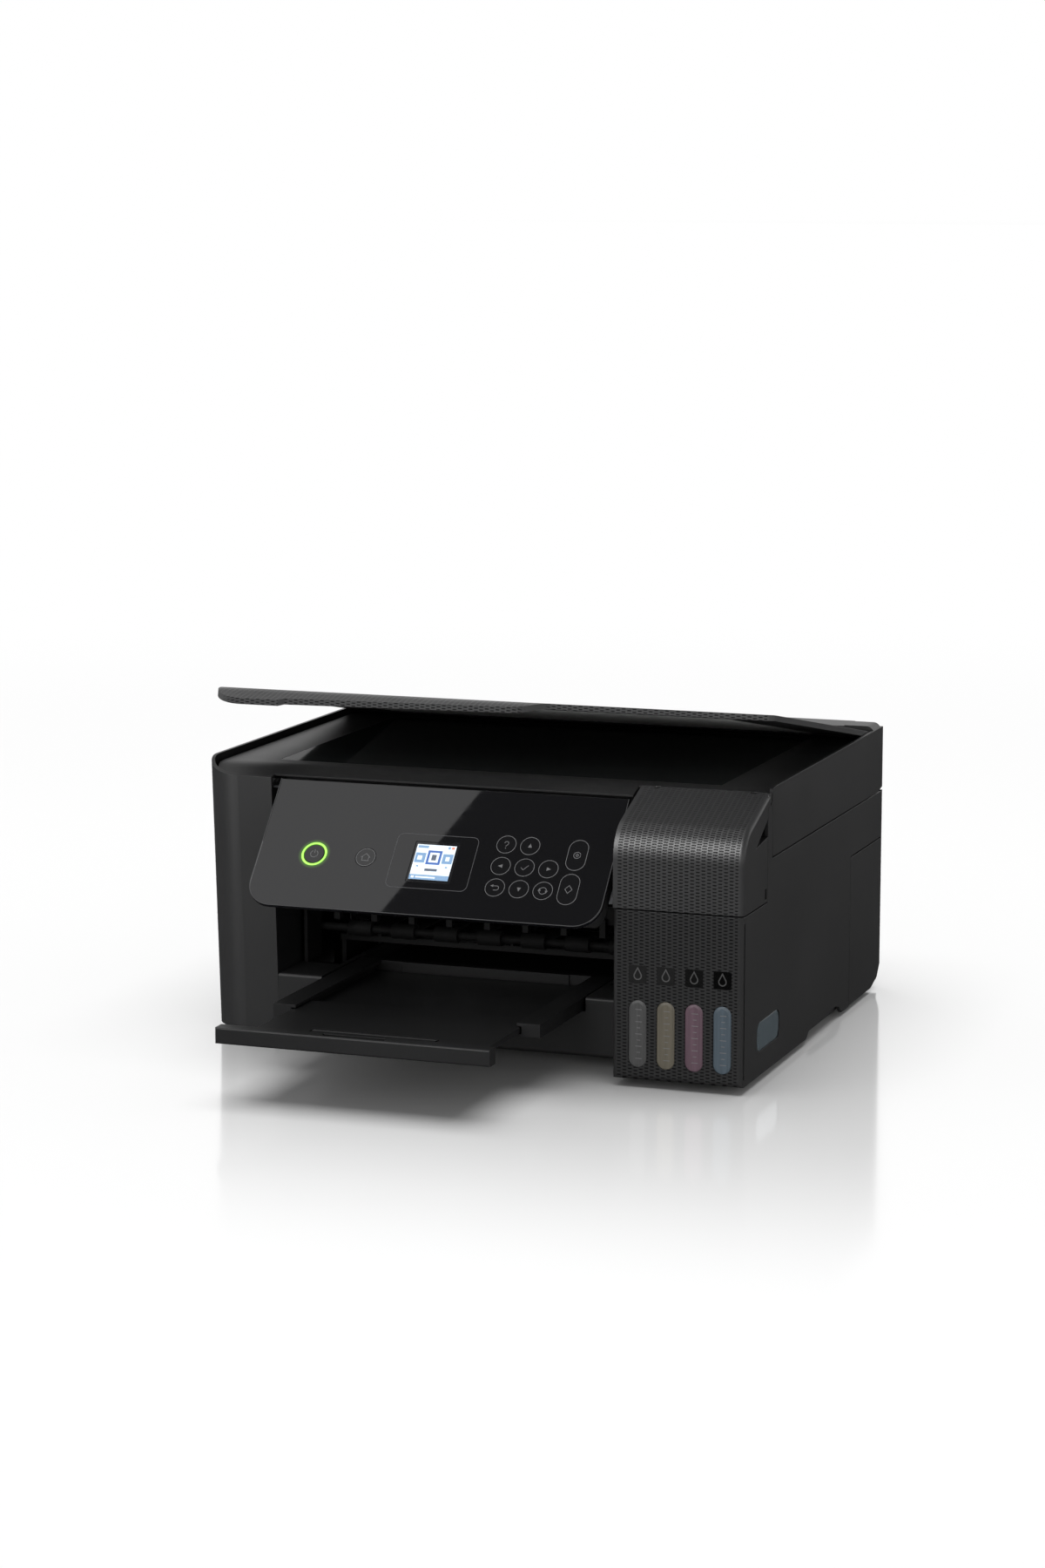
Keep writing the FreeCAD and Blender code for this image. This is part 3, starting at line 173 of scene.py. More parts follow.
# ---- lower case and covers ----
# Injection-moulded black ABS with a fine spark-eroded grain: base pan, side covers, front ledge, rear
# cover and feeder, held by screws from behind.  The grain catches the light without shining.
def grained_plastic(name, base, rough, grain=0.35, cell=0.00035, edge=0.0004):
    """Matt moulded plastic: fine pitted grain, slow changes of sheen, broken edges, painted shade in
    crevices.
    """
    made, tree, bsdf = shader(name)
    place = add(tree, "ShaderNodeTexCoord").outputs["Object"]
    pits = add(tree, "ShaderNodeTexNoise", {"Vector": place, "Scale": 1.0 / cell, "Detail": 3.0,
                                             "Roughness": 0.6})
    drift = add(tree, "ShaderNodeTexNoise", {"Vector": place, "Scale": 14.0, "Detail": 2.0})
    sheen = add(tree, "ShaderNodeMapRange", {"Value": drift.outputs["Fac"], "From Min": 0.3, "From Max": 0.7,
                                              "To Min": rough - 0.03, "To Max": rough + 0.03})
    tone = add(tree, "ShaderNodeMapRange", {"Value": pits.outputs["Fac"], "From Min": 0.35, "From Max": 0.65,
                                             "To Min": 0.86, "To Max": 1.14})
    # painted shade: occlusion darkens the colour and the shine in crevices, seams and inner corners
    crevice = add(tree, "ShaderNodeAmbientOcclusion", {"Distance": 0.005}, samples=6).outputs["AO"]
    painted_crevice_shade = add(tree, "ShaderNodeMapRange", {"Value": crevice, "From Min": 0.1, "From Max": 0.6,
                                             "To Min": 0.0, "To Max": 1.0})
    shine = add(tree, "ShaderNodeMath", {0: painted_crevice_shade.outputs["Result"], 1: 0.5}, operation="MULTIPLY")
    tone = add(tree, "ShaderNodeMath", {0: tone.outputs["Result"], 1: painted_crevice_shade.outputs["Result"]},
               operation="MULTIPLY").outputs["Value"]
    colour = add(tree, "ShaderNodeMix", {"Factor": 1.0, "A": (*base, 1), "B": tone},
                 data_type="RGBA", blend_type="MULTIPLY")
    tree.links.new(shine.outputs["Value"], bsdf.inputs["Specular IOR Level"])
    rounding = add(tree, "ShaderNodeBevel", {"Radius": edge}, samples=4)
    bump = add(tree, "ShaderNodeBump", {"Height": pits.outputs["Fac"], "Strength": grain,
                                         "Distance": 0.00006, "Normal": rounding.outputs["Normal"]})
    tree.links.new(colour.outputs["Result"], bsdf.inputs["Base Color"])
    tree.links.new(sheen.outputs["Result"], bsdf.inputs["Roughness"])
    tree.links.new(bump.outputs["Normal"], bsdf.inputs["Normal"])
    return made


def dress(material, *names):
    """Give CAD nodes a finish in place of their plain packed one."""
    for name in names:
        mesh = nodes[name].data
        mesh.materials.clear()
        mesh.materials.append(material)


case_black = grained_plastic("case_black", (0.016, 0.016, 0.0165), 0.42)
dress(case_black, "base_pan", "left_side_cover", "right_side_cover", "front_lower_cover", "rear_cover",
      "rear_feeder_housing", "feeder_cover", "edge_guide", "panel_shell", "scanner_base")
tray_black = grained_plastic("tray_black", (0.012, 0.012, 0.0125), 0.38)
dress(tray_black, "output_tray", "tray_extension", "tray_stop")
# the inner works are near-black: their own black plastic plus painted shade of the dim interior
works_black_and_shade = grained_plastic("works_black_and_shade", (0.003, 0.003, 0.003), 0.6)
dress(works_black_and_shade, "platen", "maintenance_station", "exit_guide", "print_carriage", "power_supply",
      "power_inlet", "scan_bar")


# ---- rubber feet ----
# Six round pads of soft rubber pressed into the pan.
foot_rubber = grained_plastic("foot_rubber", (0.03, 0.03, 0.03), 0.75, grain=0.6, cell=0.0006)
dress(foot_rubber, "rubber_feet")


# ---- relief-textured covers ----
# The lid, the ink tank box and its hood are moulded with a relief: rows of short sunk dashes, each row
# shifted by half a pitch, fading out at the plain borders.  The dashes carry painted shade: darker and less
# shiny than the face.
DASH_PITCH = 7.05 * MM
DASH_ROW = 1.05 * MM


def dashed_plastic(name, base, rough, along, borders):
    """Grained plastic with the dashed relief.  along: how fast rows count up with Y and Z; borders: low
    and high X of the textured field."""
    made = grained_plastic(name, base, rough)
    tree = made.node_tree
    bsdf = tree.nodes["Principled BSDF"]
    place = add(tree, "ShaderNodeTexCoord").outputs["Object"]
    part = add(tree, "ShaderNodeSeparateXYZ", {0: place})

    def maths(operation, a, b=0.0, c=0.0):
        return add(tree, "ShaderNodeMath", {0: a, 1: b, 2: c}, operation=operation).outputs[0]

    slope = maths("MULTIPLY", part.outputs["Y"], along[0])
    rows = maths("MULTIPLY_ADD", part.outputs["Z"], along[1], slope)
    row = maths("DIVIDE", rows, DASH_ROW)
    index = maths("FLOOR", row)
    shift = maths("MULTIPLY", maths("MODULO", index, 2.0), 0.5)
    column = maths("ADD", maths("DIVIDE", part.outputs["X"], DASH_PITCH), shift)
    across = maths("ABSOLUTE", maths("SUBTRACT", maths("FRACT", column), 0.5))
    up = maths("ABSOLUTE", maths("SUBTRACT", maths("FRACT", row), 0.5))
    wide = add(tree, "ShaderNodeMapRange", {"Value": across, "From Min": 0.13, "From Max": 0.21,
                                             "To Min": 1.0, "To Max": 0.0}, interpolation_type="SMOOTHSTEP")
    tall = add(tree, "ShaderNodeMapRange", {"Value": up, "From Min": 0.26, "From Max": 0.48,
                                             "To Min": 1.0, "To Max": 0.0}, interpolation_type="SMOOTHSTEP")
    dash = maths("MULTIPLY", wide.outputs["Result"], tall.outputs["Result"])
    low = add(tree, "ShaderNodeMapRange", {"Value": part.outputs["X"], "From Min": borders[0],
                                            "From Max": borders[0] + 0.4 * MM})
    high = add(tree, "ShaderNodeMapRange", {"Value": part.outputs["X"], "From Min": borders[1] - 0.4 * MM,
                                             "From Max": borders[1], "To Min": 1.0, "To Max": 0.0})
    field = maths("MULTIPLY", low.outputs["Result"], high.outputs["Result"])
    facing = add(tree, "ShaderNodeSeparateXYZ", {0: add(tree, "ShaderNodeTexCoord").outputs["Normal"]})
    outward = add(tree, "ShaderNodeMapRange", {"Value": maths("ABSOLUTE", facing.outputs["X"]),
                                                "From Min": 0.3, "From Max": 0.6,
                                                "To Min": 1.0, "To Max": 0.0})
    depth = maths("MULTIPLY", maths("MULTIPLY", dash, field), outward.outputs["Result"])
    grain = bsdf.inputs["Normal"].links[0].from_node
    sunk = add(tree, "ShaderNodeBump", {"Height": depth, "Strength": 1.0, "Distance": 0.00022,
                                         "Normal": grain.outputs["Normal"]}, invert=True)
    tree.links.new(sunk.outputs["Normal"], bsdf.inputs["Normal"])
    colour = bsdf.inputs["Base Color"].links[0].from_socket
    # painted shade in the sunk dashes: colour down to a quarter, and the shine with it
    shade = add(tree, "ShaderNodeMapRange", {"Value": depth, "To Min": 1.0, "To Max": 0.25})
    darker = add(tree, "ShaderNodeMix", {"Factor": 1.0, "A": colour, "B": shade.outputs["Result"]},
                 data_type="RGBA", blend_type="MULTIPLY")
    tree.links.new(darker.outputs["Result"], bsdf.inputs["Base Color"])
    gloss = maths("MULTIPLY", bsdf.inputs["Specular IOR Level"].links[0].from_socket, shade.outputs["Result"])
    tree.links.new(gloss, bsdf.inputs["Specular IOR Level"])
    return made


low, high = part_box("tank_housing")
tank_relief = dashed_plastic("tank_relief", (0.019, 0.019, 0.0195), 0.40, (0.75, 1.0),
                             (low.x + 5.3 * MM, high.x - 3.4 * MM))
dress(tank_relief, "tank_housing", "tank_cover")
low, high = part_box("lid_cover")
lid_relief = dashed_plastic("lid_relief", (0.032, 0.032, 0.033), 0.40, (0.8, 1.0),
                            (low.x + 4 * MM, high.x - 4 * MM))
dress(lid_relief, "lid_cover")


# ---- lid mat ----
# White foam board with a vinyl face, taped inside the lid to press the original flat.
mat_foam = grained_plastic("mat_foam", (0.55, 0.55, 0.54), 0.55, grain=0.5, cell=0.0009)
dress(mat_foam, "lid_mat")


# ---- scanner glass ----
# Float glass set flush into the deck and taped from below.  Most of what it shows is the matt black
# scanner bay under it.
bed_glass, tree, bsdf = shader("bed_glass")
bsdf.inputs["Base Color"].default_value = (0.30, 0.33, 0.33, 1)
bsdf.inputs["Transmission Weight"].default_value = 0.9
bsdf.inputs["IOR"].default_value = 1.45
place = add(tree, "ShaderNodeTexCoord").outputs["Object"]
smears = add(tree, "ShaderNodeTexNoise", {"Vector": place, "Scale": 9.0, "Detail": 4.0})
haze = add(tree, "ShaderNodeMapRange", {"Value": smears.outputs["Fac"], "From Min": 0.4, "From Max": 0.8,
                                         "To Min": 0.05, "To Max": 0.12})
tree.links.new(haze.outputs["Result"], bsdf.inputs["Roughness"])
BAY_SHARE = 0.72
dark = add(tree, "ShaderNodeBsdfDiffuse", {"Color": (0.006, 0.007, 0.007, 1)})
bay = add(tree, "ShaderNodeMixShader", {0: BAY_SHARE, 1: bsdf.outputs["BSDF"], 2: dark.outputs["BSDF"]})
tree.links.new(bay.outputs["Shader"], tree.nodes["Material Output"].inputs["Surface"])
dress(bed_glass, "scanner_glass")


# ---- steel and brass works ----
# Zinc-plated rails, rods, screws and shells, and ground rubber rollers on steel shafts.
def brushed_metal(name, base, rough):
    """Rolled sheet or drawn rod: long fine scratches and a slightly uneven plating."""
    made, tree, bsdf = shader(name)
    place = add(tree, "ShaderNodeTexCoord").outputs["Object"]
    drawn = add(tree, "ShaderNodeMapping", {"Vector": place, "Scale": (20.0, 900.0, 900.0)})
    lines = add(tree, "ShaderNodeTexNoise", {"Vector": drawn.outputs["Vector"], "Scale": 3.0, "Detail": 4.0})
    blotch = add(tree, "ShaderNodeTexNoise", {"Vector": place, "Scale": 60.0, "Detail": 3.0})
    tone = add(tree, "ShaderNodeMapRange", {"Value": blotch.outputs["Fac"], "To Min": 0.8, "To Max": 1.1})
    colour = add(tree, "ShaderNodeMix", {"Factor": 1.0, "A": (*base, 1), "B": tone.outputs["Result"]},
                 data_type="RGBA", blend_type="MULTIPLY")
    sheen = add(tree, "ShaderNodeMapRange", {"Value": lines.outputs["Fac"], "To Min": rough - 0.1,
                                              "To Max": rough + 0.12})
    bump = add(tree, "ShaderNodeBump", {"Height": lines.outputs["Fac"], "Strength": 0.2, "Distance": 0.00003})
    bsdf.inputs["Metallic"].default_value = 1.0
    tree.links.new(colour.outputs["Result"], bsdf.inputs["Base Color"])
    tree.links.new(sheen.outputs["Result"], bsdf.inputs["Roughness"])
    tree.links.new(bump.outputs["Normal"], bsdf.inputs["Normal"])
    return made


zinc = brushed_metal("zinc", (0.55, 0.56, 0.58), 0.35)
dress(zinc, "carriage_rail", "cover_screws", "unit_hinge_rods", "usb_port", "feed_motor")
blackened = brushed_metal("blackened", (0.03, 0.03, 0.032), 0.45)
dress(blackened, "panel_hinge_pins", "lid_hinge_pins")
brass = brushed_metal("brass", (0.72, 0.53, 0.22), 0.3)
dress(brass, "drive_pinion")
# near-black rollers: their own black rubber plus painted shade of the dim exit bay
roller_rubber = grained_plastic("roller_rubber", (0.006, 0.006, 0.006), 0.75, grain=0.8, cell=0.0005)
dress(roller_rubber, "feed_roller", "exit_roller")


# ---- main board ----
# Green solder-masked board with copper tracks and black chips.
board_green, tree, bsdf = shader("board_green")
place = add(tree, "ShaderNodeTexCoord").outputs["Object"]
tracks = add(tree, "ShaderNodeTexBrick", {"Vector": place, "Color1": (0.01, 0.10, 0.04, 1),
                                           "Color2": (0.015, 0.13, 0.05, 1), "Mortar": (0.10, 0.22, 0.08, 1),
                                           "Scale": 120.0, "Mortar Size": 0.03})
tree.links.new(tracks.outputs["Color"], bsdf.inputs["Base Color"])
bsdf.inputs["Roughness"].default_value = 0.3
dress(board_green, "main_board")


# ---- ink tanks and their caps ----
# Milky polypropylene tanks tinted by their ink, and rubber plugs in the ink's colour on a strap.
def milky_tank(name, ink):
    """Translucent moulded tank: cloudier at the top where no ink stands."""
    made, tree, bsdf = shader(name)
    place = add(tree, "ShaderNodeTexCoord").outputs["Object"]
    height = add(tree, "ShaderNodeSeparateXYZ", {0: place}).outputs["Z"]
    level = add(tree, "ShaderNodeMapRange", {"Value": height, "From Min": 0.074, "From Max": 0.078})
    colour = add(tree, "ShaderNodeMix", {"Factor": level.outputs["Result"], "A": (*ink, 1),
                                          "B": (0.42, 0.43, 0.44, 1)}, data_type="RGBA")
    cloud = add(tree, "ShaderNodeTexNoise", {"Vector": place, "Scale": 90.0})
    sheen = add(tree, "ShaderNodeMapRange", {"Value": cloud.outputs["Fac"], "To Min": 0.25, "To Max": 0.45})
    tree.links.new(colour.outputs["Result"], bsdf.inputs["Base Color"])
    tree.links.new(sheen.outputs["Result"], bsdf.inputs["Roughness"])
    bsdf.inputs["Subsurface Weight"].default_value = 0.2
    bsdf.inputs["Subsurface Radius"].default_value = (0.002, 0.002, 0.002)
    return made


INKS = {"black": (0.012, 0.012, 0.014), "yellow": (0.62, 0.42, 0.03),
        "magenta": (0.42, 0.03, 0.16), "cyan": (0.02, 0.19, 0.42)}
for colour_name, ink in INKS.items():
    dress(milky_tank("tank_" + colour_name, ink), "ink_tank_" + colour_name)
    plug = grained_plastic("plug_" + colour_name, tuple(0.02 + 0.8 * c for c in ink), 0.6)
    dress(plug, "tank_cap_" + colour_name)


# ---- control panel ----
# Piano-black fascia of polished acrylic over the grained shell.  Legends are printed in thin grey
# lines; a light guide rings the power key and glows, and a painted halo of its light lies on the black.
into = Vector(next(j for j in frame["joints"] if j["child"] == "key_power")["axis"]).normalized()
down = into.cross(Vector((1, 0, 0)))
fascia_points = [v.co for v in nodes["panel_fascia"].data.vertices]
FASCIA_DEPTH = min(p.dot(into) for p in fascia_points)
FASCIA_TOP = min(p.dot(down) for p in fascia_points)


def panel_place(node):
    """X and distance down the fascia of a key's axis."""
    points = [v.co for v in nodes[node].data.vertices]
    across = [p.x for p in points]
    along = [p.dot(down) for p in points]
    return (min(across) + max(across)) / 2, (min(along) + max(along)) / 2 - FASCIA_TOP


def on_panel(x, v, depth):
    """Point of the fascia in the row frame."""
    return Vector((x, 0, 0)) + down * (FASCIA_TOP + v) + into * (FASCIA_DEPTH + depth)


def gloss_black(name, base=(0.004, 0.004, 0.005), glow=None):
    """Polished black acrylic: mirror-smooth, a few wiping marks, and a painted glow round a light guide."""
    made, tree, bsdf = shader(name)
    place = add(tree, "ShaderNodeTexCoord").outputs["Object"]
    wiped = add(tree, "ShaderNodeMapping", {"Vector": place, "Scale": (30.0, 240.0, 240.0)})
    marks = add(tree, "ShaderNodeTexNoise", {"Vector": wiped.outputs["Vector"], "Scale": 1.0, "Detail": 5.0})
    sheen = add(tree, "ShaderNodeMapRange", {"Value": marks.outputs["Fac"], "From Min": 0.4, "From Max": 0.9,
                                              "To Min": 0.012, "To Max": 0.035})
    rounding = add(tree, "ShaderNodeBevel", {"Radius": 0.00025}, samples=4)
    bsdf.inputs["Base Color"].default_value = (*base, 1)
    tree.links.new(sheen.outputs["Result"], bsdf.inputs["Roughness"])
    tree.links.new(rounding.outputs["Normal"], bsdf.inputs["Normal"])
    if glow:
        # painted light: the acrylic round the power key emits a green halo
        away = add(tree, "ShaderNodeVectorMath", {0: place, 1: glow}, operation="DISTANCE").outputs["Value"]
        halo = add(tree, "ShaderNodeMapRange", {"Value": away, "From Min": 7.2 * MM, "From Max": 11.0 * MM,
                                                 "To Min": 0.25, "To Max": 0.0},
                   interpolation_type="SMOOTHSTEP")
        bsdf.inputs["Emission Color"].default_value = (0.30, 0.85, 0.05, 1)
        tree.links.new(halo.outputs["Result"], bsdf.inputs["Emission Strength"])
    return made


power_x, power_v = panel_place("key_power")
fascia_gloss = gloss_black("fascia_gloss", glow=on_panel(power_x, power_v, 0))
dress(fascia_gloss, "panel_fascia")
key_gloss = gloss_black("key_gloss", (0.006, 0.006, 0.007))
KEYS = [name for name in nodes if name.startswith("key_")]
dress(key_gloss, *KEYS)

LEGEND_UP = 0.06 * MM      # print thickness


def ribbon(bm, points, width, surface, closed=False, lift=0.0):
    """Closed strip of print that follows points (x, v) at a constant width, standing on surface."""
    n = len(points)
    rings = []
    for i, point in enumerate(points):
        before = points[(i - 1) % n] if closed or i else points[i]
        after = points[(i + 1) % n] if closed or i < n - 1 else points[i]
        a = Vector(point) - Vector(before)
        b = Vector(after) - Vector(point)
        a = a.normalized() if a.length else b.normalized()
        b = b.normalized() if b.length else a
        middle = (a + b).normalized()
        side = Vector((-middle.y, middle.x)) * (width / 2) / max(middle.dot(a), 0.5)
        corners = []
        for sign in (-1, 1):
            x, v = point[0] + sign * side.x, point[1] + sign * side.y
            corners += [bm.verts.new(surface(x, v, -lift)), bm.verts.new(surface(x, v, -lift - LEGEND_UP))]
        rings.append((corners[0], corners[1], corners[3], corners[2]))
    for i in range(n if closed else n - 1):
        first, second = rings[i], rings[(i + 1) % n]
        for k in range(4):
            bm.faces.new((first[k], first[(k + 1) % 4], second[(k + 1) % 4], second[k]))
    if not closed:
        bm.faces.new(rings[0])
        bm.faces.new(reversed(rings[-1]))


def patch(bm, points, surface, lift=0.0, thick=LEGEND_UP, index=0):
    """Closed flat tile with outline points (x, v)."""
    low = [bm.verts.new(surface(x, v, -lift)) for x, v in points]
    top = [bm.verts.new(surface(x, v, -lift - thick)) for x, v in points]
    faces = [bm.faces.new(top), bm.faces.new(list(reversed(low)))]
    n = len(points)
    for i in range(n):
        faces.append(bm.faces.new((low[i], low[(i + 1) % n], top[(i + 1) % n], top[i])))
    for face in faces:
        face.material_index = index


def arc(cx, cy, r, start, end, steps=24):
    """Points on a circle, angles in degrees, 0 to the right and 90 down the fascia."""
    turn = [math.radians(start + (end - start) * i / steps) for i in range(steps + 1)]
    return [(cx + r * math.cos(a), cy + r * math.sin(a)) for a in turn]


def loop_points(cx, cy, half_x, half_y, r, steps=6):
    """Rounded rectangle about a centre."""
    points = []
    for sx, sy, start in ((1, 1, 0), (-1, 1, 90), (-1, -1, 180), (1, -1, 270)):
        points += arc(cx + sx * (half_x - r), cy + sy * (half_y - r), r, start, start + 90, steps)
    return points


def close_mesh(bm, name):
    """Finish a bmesh with outward faces."""
    bmesh.ops.recalc_face_normals(bm, faces=bm.faces)
    mesh = bpy.data.meshes.new(name)
    bm.to_mesh(mesh)
    bm.free()
    return mesh


def printed_ink(name, colour, glow=0.0):
    """Screen-printed ink, slightly broken in tone."""
    made, tree, bsdf = shader(name)
    place = add(tree, "ShaderNodeTexCoord").outputs["Object"]
    speckle = add(tree, "ShaderNodeTexNoise", {"Vector": place, "Scale": 5200.0, "Detail": 2.0})
    tone = add(tree, "ShaderNodeMapRange", {"Value": speckle.outputs["Fac"], "To Min": 0.8, "To Max": 1.15})
    mixed = add(tree, "ShaderNodeMix", {"Factor": 1.0, "A": (*colour, 1), "B": tone.outputs["Result"]},
                data_type="RGBA", blend_type="MULTIPLY")
    tree.links.new(mixed.outputs["Result"], bsdf.inputs["Base Color"])
    bsdf.inputs["Roughness"].default_value = 0.5
    if glow:
        tree.links.new(mixed.outputs["Result"], bsdf.inputs["Emission Color"])
        bsdf.inputs["Emission Strength"].default_value = glow
    return made


legend_grey = printed_ink("legend_grey", (0.16, 0.16, 0.165))
ring_grey = printed_ink("ring_grey", (0.085, 0.085, 0.09))


def triangle(cx, cy, size, turn):
    """Solid pointer, its tip at turn degrees."""
    return [(cx + size * math.cos(math.radians(turn + a)), cy + size * math.sin(math.radians(turn + a)))
            for a in (0, 130, 230)]


def key_symbol(name):
    """Strokes and filled tiles of a key's printed symbol, in metres about the key's axis."""
    s = MM
    strokes, tiles = [], []
    if name == "key_power":
        strokes = [arc(0, 0, 2.4 * s, -60, 240), [(0, -3.1 * s), (0, -0.6 * s)]]
    elif name == "key_home":
        strokes = [[(-3.0 * s, 0.2 * s), (0, -2.7 * s), (3.0 * s, 0.2 * s)],
                   [(-2.1 * s, -0.3 * s), (-2.1 * s, 2.4 * s), (2.1 * s, 2.4 * s), (2.1 * s, -0.3 * s)]]
    elif name == "key_help":
        strokes = [arc(0, -0.9 * s, 1.3 * s, 180, 400), [(0.95 * s, 0.0), (0, 0.9 * s), (0, 1.5 * s)]]
        tiles = [arc(0, 2.6 * s, 0.35 * s, 0, 330, 11)]
    elif name in ("key_up", "key_left", "key_right", "key_down"):
        turn = {"key_up": -90, "key_left": 180, "key_right": 0, "key_down": 90}[name]
        tiles = [triangle(0, 0, 1.7 * s, turn)]
    elif name == "key_ok":
        strokes = [[(-2.2 * s, 0.1 * s), (-0.6 * s, 1.7 * s), (2.4 * s, -1.6 * s)]]
    elif name == "key_back":
        strokes = [[(-1.6 * s, -1.2 * s), (1.0 * s, -1.2 * s)] + arc(1.0 * s, 0.3 * s, 1.5 * s, -90, 90, 12)
                   + [(-0.8 * s, 1.8 * s)]]
        tiles = [triangle(-2.0 * s, -1.2 * s, 1.2 * s, 180)]
    elif name == "key_stop":
        strokes = [arc(0, 0, 2.3 * s, -150, 0), arc(0, 0, 2.3 * s, 30, 180)]
        tiles = [triangle(2.3 * s, 0.6 * s, 1.2 * s, 90), triangle(-2.3 * s, -0.6 * s, 1.2 * s, -90)]
    elif name == "key_copy_mono":
        strokes = [arc(0, 0, 2.2 * s, 0, 345, 23), [(-1.0 * s, 0), (0, -1.0 * s), (1.0 * s, 0), (0, 1.0 * s),
                                                    (-0.9 * s, 0.1 * s)]]
    else:
        strokes = [[(-2.3 * s, 0), (0, -2.8 * s), (2.3 * s, 0), (0, 2.8 * s), (-2.2 * s, 0.1 * s)]]
    return strokes, tiles


RIM_R = 6.2 * MM           # printed ring, just inside the key's edge
RIM_W = 0.38 * MM
KEY_PROUD = 0.1 * MM
for name in KEYS:
    x, v = panel_place(name)
    bm = bmesh.new()

    def surface(dx, dv, depth):
        return on_panel(x + dx, v + dv, depth - KEY_PROUD)

    half_long = 4.6 * MM if name.startswith("key_copy") else 0.0
    rim = loop_points(0, 0, RIM_R + 1e-6, RIM_R + half_long + 1e-6, RIM_R, 12)
    if name != "key_power":
        ribbon(bm, rim, RIM_W, surface, closed=True)
    strokes, tiles = key_symbol(name)
    for stroke in strokes:
        ribbon(bm, stroke, 0.42 * MM, surface)
    for tile in tiles:
        patch(bm, tile, surface)
    print_mesh = close_mesh(bm, "print_" + name)
    print_mesh.materials.append(legend_grey)
    new_object("print_" + name, print_mesh, name)


# a painted highlight along the polished edge of the acrylic: a pale grey line in place of the light its
# chamfer catches
edge_low, edge_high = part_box("panel_fascia")
edge_x = (edge_low.x + edge_high.x) / 2
EDGE_HALF = 115.8 * MM
EDGE_CORNER_X = 98.9 * MM
EDGE_CORNER_V = 75.8 * MM
EDGE_CORNER_R = 16.8 * MM
EDGE_TOP = 0.4 * MM
edge_line = [(edge_x - EDGE_HALF, EDGE_TOP)]
edge_line += arc(edge_x - EDGE_CORNER_X, EDGE_CORNER_V, EDGE_CORNER_R, 180, 90)
edge_line += arc(edge_x + EDGE_CORNER_X, EDGE_CORNER_V, EDGE_CORNER_R, 90, 0)
edge_line += [(edge_x + EDGE_HALF, EDGE_TOP)]
bm = bmesh.new()
ribbon(bm, edge_line, 0.45 * MM, on_panel)
edge_mesh = close_mesh(bm, "fascia_edge_highlight")
edge_mesh.materials.append(printed_ink("edge_highlight_grey", (0.055, 0.055, 0.057)))
new_object("fascia_edge_highlight", edge_mesh, "panel")

# the light guide round the power key
GUIDE_R = 7.7 * MM
bm = bmesh.new()
ribbon(bm, loop_points(power_x, power_v, GUIDE_R, GUIDE_R, GUIDE_R - 0.001 * MM, 16), 1.3 * MM, on_panel,
       closed=True)
guide_mesh = close_mesh(bm, "power_light_guide")
guide_glow, tree, bsdf = shader("guide_glow")
place = add(tree, "ShaderNodeTexCoord").outputs["Object"]
uneven = add(tree, "ShaderNodeTexNoise", {"Vector": place, "Scale": 160.0})
glow = add(tree, "ShaderNodeMapRange", {"Value": uneven.outputs["Fac"], "To Min": 0.7, "To Max": 1.3})
bsdf.inputs["Base Color"].default_value = (0.3, 0.7, 0.1, 1)
bsdf.inputs["Emission Color"].default_value = (0.36, 0.95, 0.10, 1)
tree.links.new(glow.outputs["Result"], bsdf.inputs["Emission Strength"])
guide_mesh.materials.append(guide_glow)
new_object("power_light_guide", guide_mesh, "panel")


# ---- display ----
# Small colour screen under the acrylic: a pale page with a status bar, three function tiles and a hint
# line, and a printed frame round it.
screen_low, screen_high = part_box("display_screen")
screen_x = (screen_low.x + screen_high.x) / 2
_, screen_v = panel_place("display_screen")
dress(gloss_black("display_bezel", (0.01, 0.01, 0.012)), "display_screen")

SCREEN_HALF = (12.9 * MM, 12.6 * MM)
SCREEN_DEPTH = 0.30 * MM
SCREEN_COLOURS = [("screen_page", (0.78, 0.86, 0.94)), ("screen_bar", (0.22, 0.36, 0.55)),
                  ("screen_tile", (0.20, 0.34, 0.54)), ("screen_chosen", (0.06, 0.14, 0.42)),
                  ("screen_line", (0.10, 0.12, 0.16)), ("screen_spot", (0.75, 0.25, 0.16))]
bm = bmesh.new()


def on_screen(dx, dv, depth):
    return on_panel(screen_x + dx, screen_v + dv, SCREEN_DEPTH + depth)


# shares of the screen from its top left corner (x0, x1, v0, v1), layer, and colour: the page, the status
# bar, the function tiles and their icons, the arrows, the name, and the hint line
TILES = [
    (0.00, 1.00, 0.00, 1.00, 0, 0),
    (0.03, 0.30, 0.03, 0.10, 1, 1),
    (0.80, 0.86, 0.03, 0.10, 1, 1),
    (0.89, 0.96, 0.03, 0.10, 1, 5),
    (0.02, 0.28, 0.24, 0.52, 1, 2),
    (0.72, 0.98, 0.24, 0.52, 1, 2),
    (0.32, 0.68, 0.16, 0.56, 1, 3),
    (0.38, 0.62, 0.22, 0.50, 2, 0),
    (0.44, 0.56, 0.28, 0.44, 3, 4),
    (0.08, 0.20, 0.32, 0.44, 2, 0),
    (0.80, 0.90, 0.32, 0.44, 2, 0),
    (0.10, 0.16, 0.60, 0.64, 1, 1),
    (0.84, 0.90, 0.60, 0.64, 1, 1),
    (0.34, 0.66, 0.68, 0.75, 1, 4),
    (0.00, 1.00, 0.86, 1.00, 1, 1),
    (0.05, 0.12, 0.90, 0.96, 2, 0),
    (0.16, 0.66, 0.91, 0.95, 2, 0),
]
wide, high = 2 * SCREEN_HALF[0], 2 * SCREEN_HALF[1]
for x0, x1, v0, v1, layer, colour_index in TILES:
    corners = [((x - 0.5) * wide, (v - 0.5) * high) for x, v in ((x0, v0), (x1, v0), (x1, v1), (x0, v1))]
    patch(bm, corners, on_screen, lift=layer * 0.02 * MM, thick=0.02 * MM, index=colour_index)
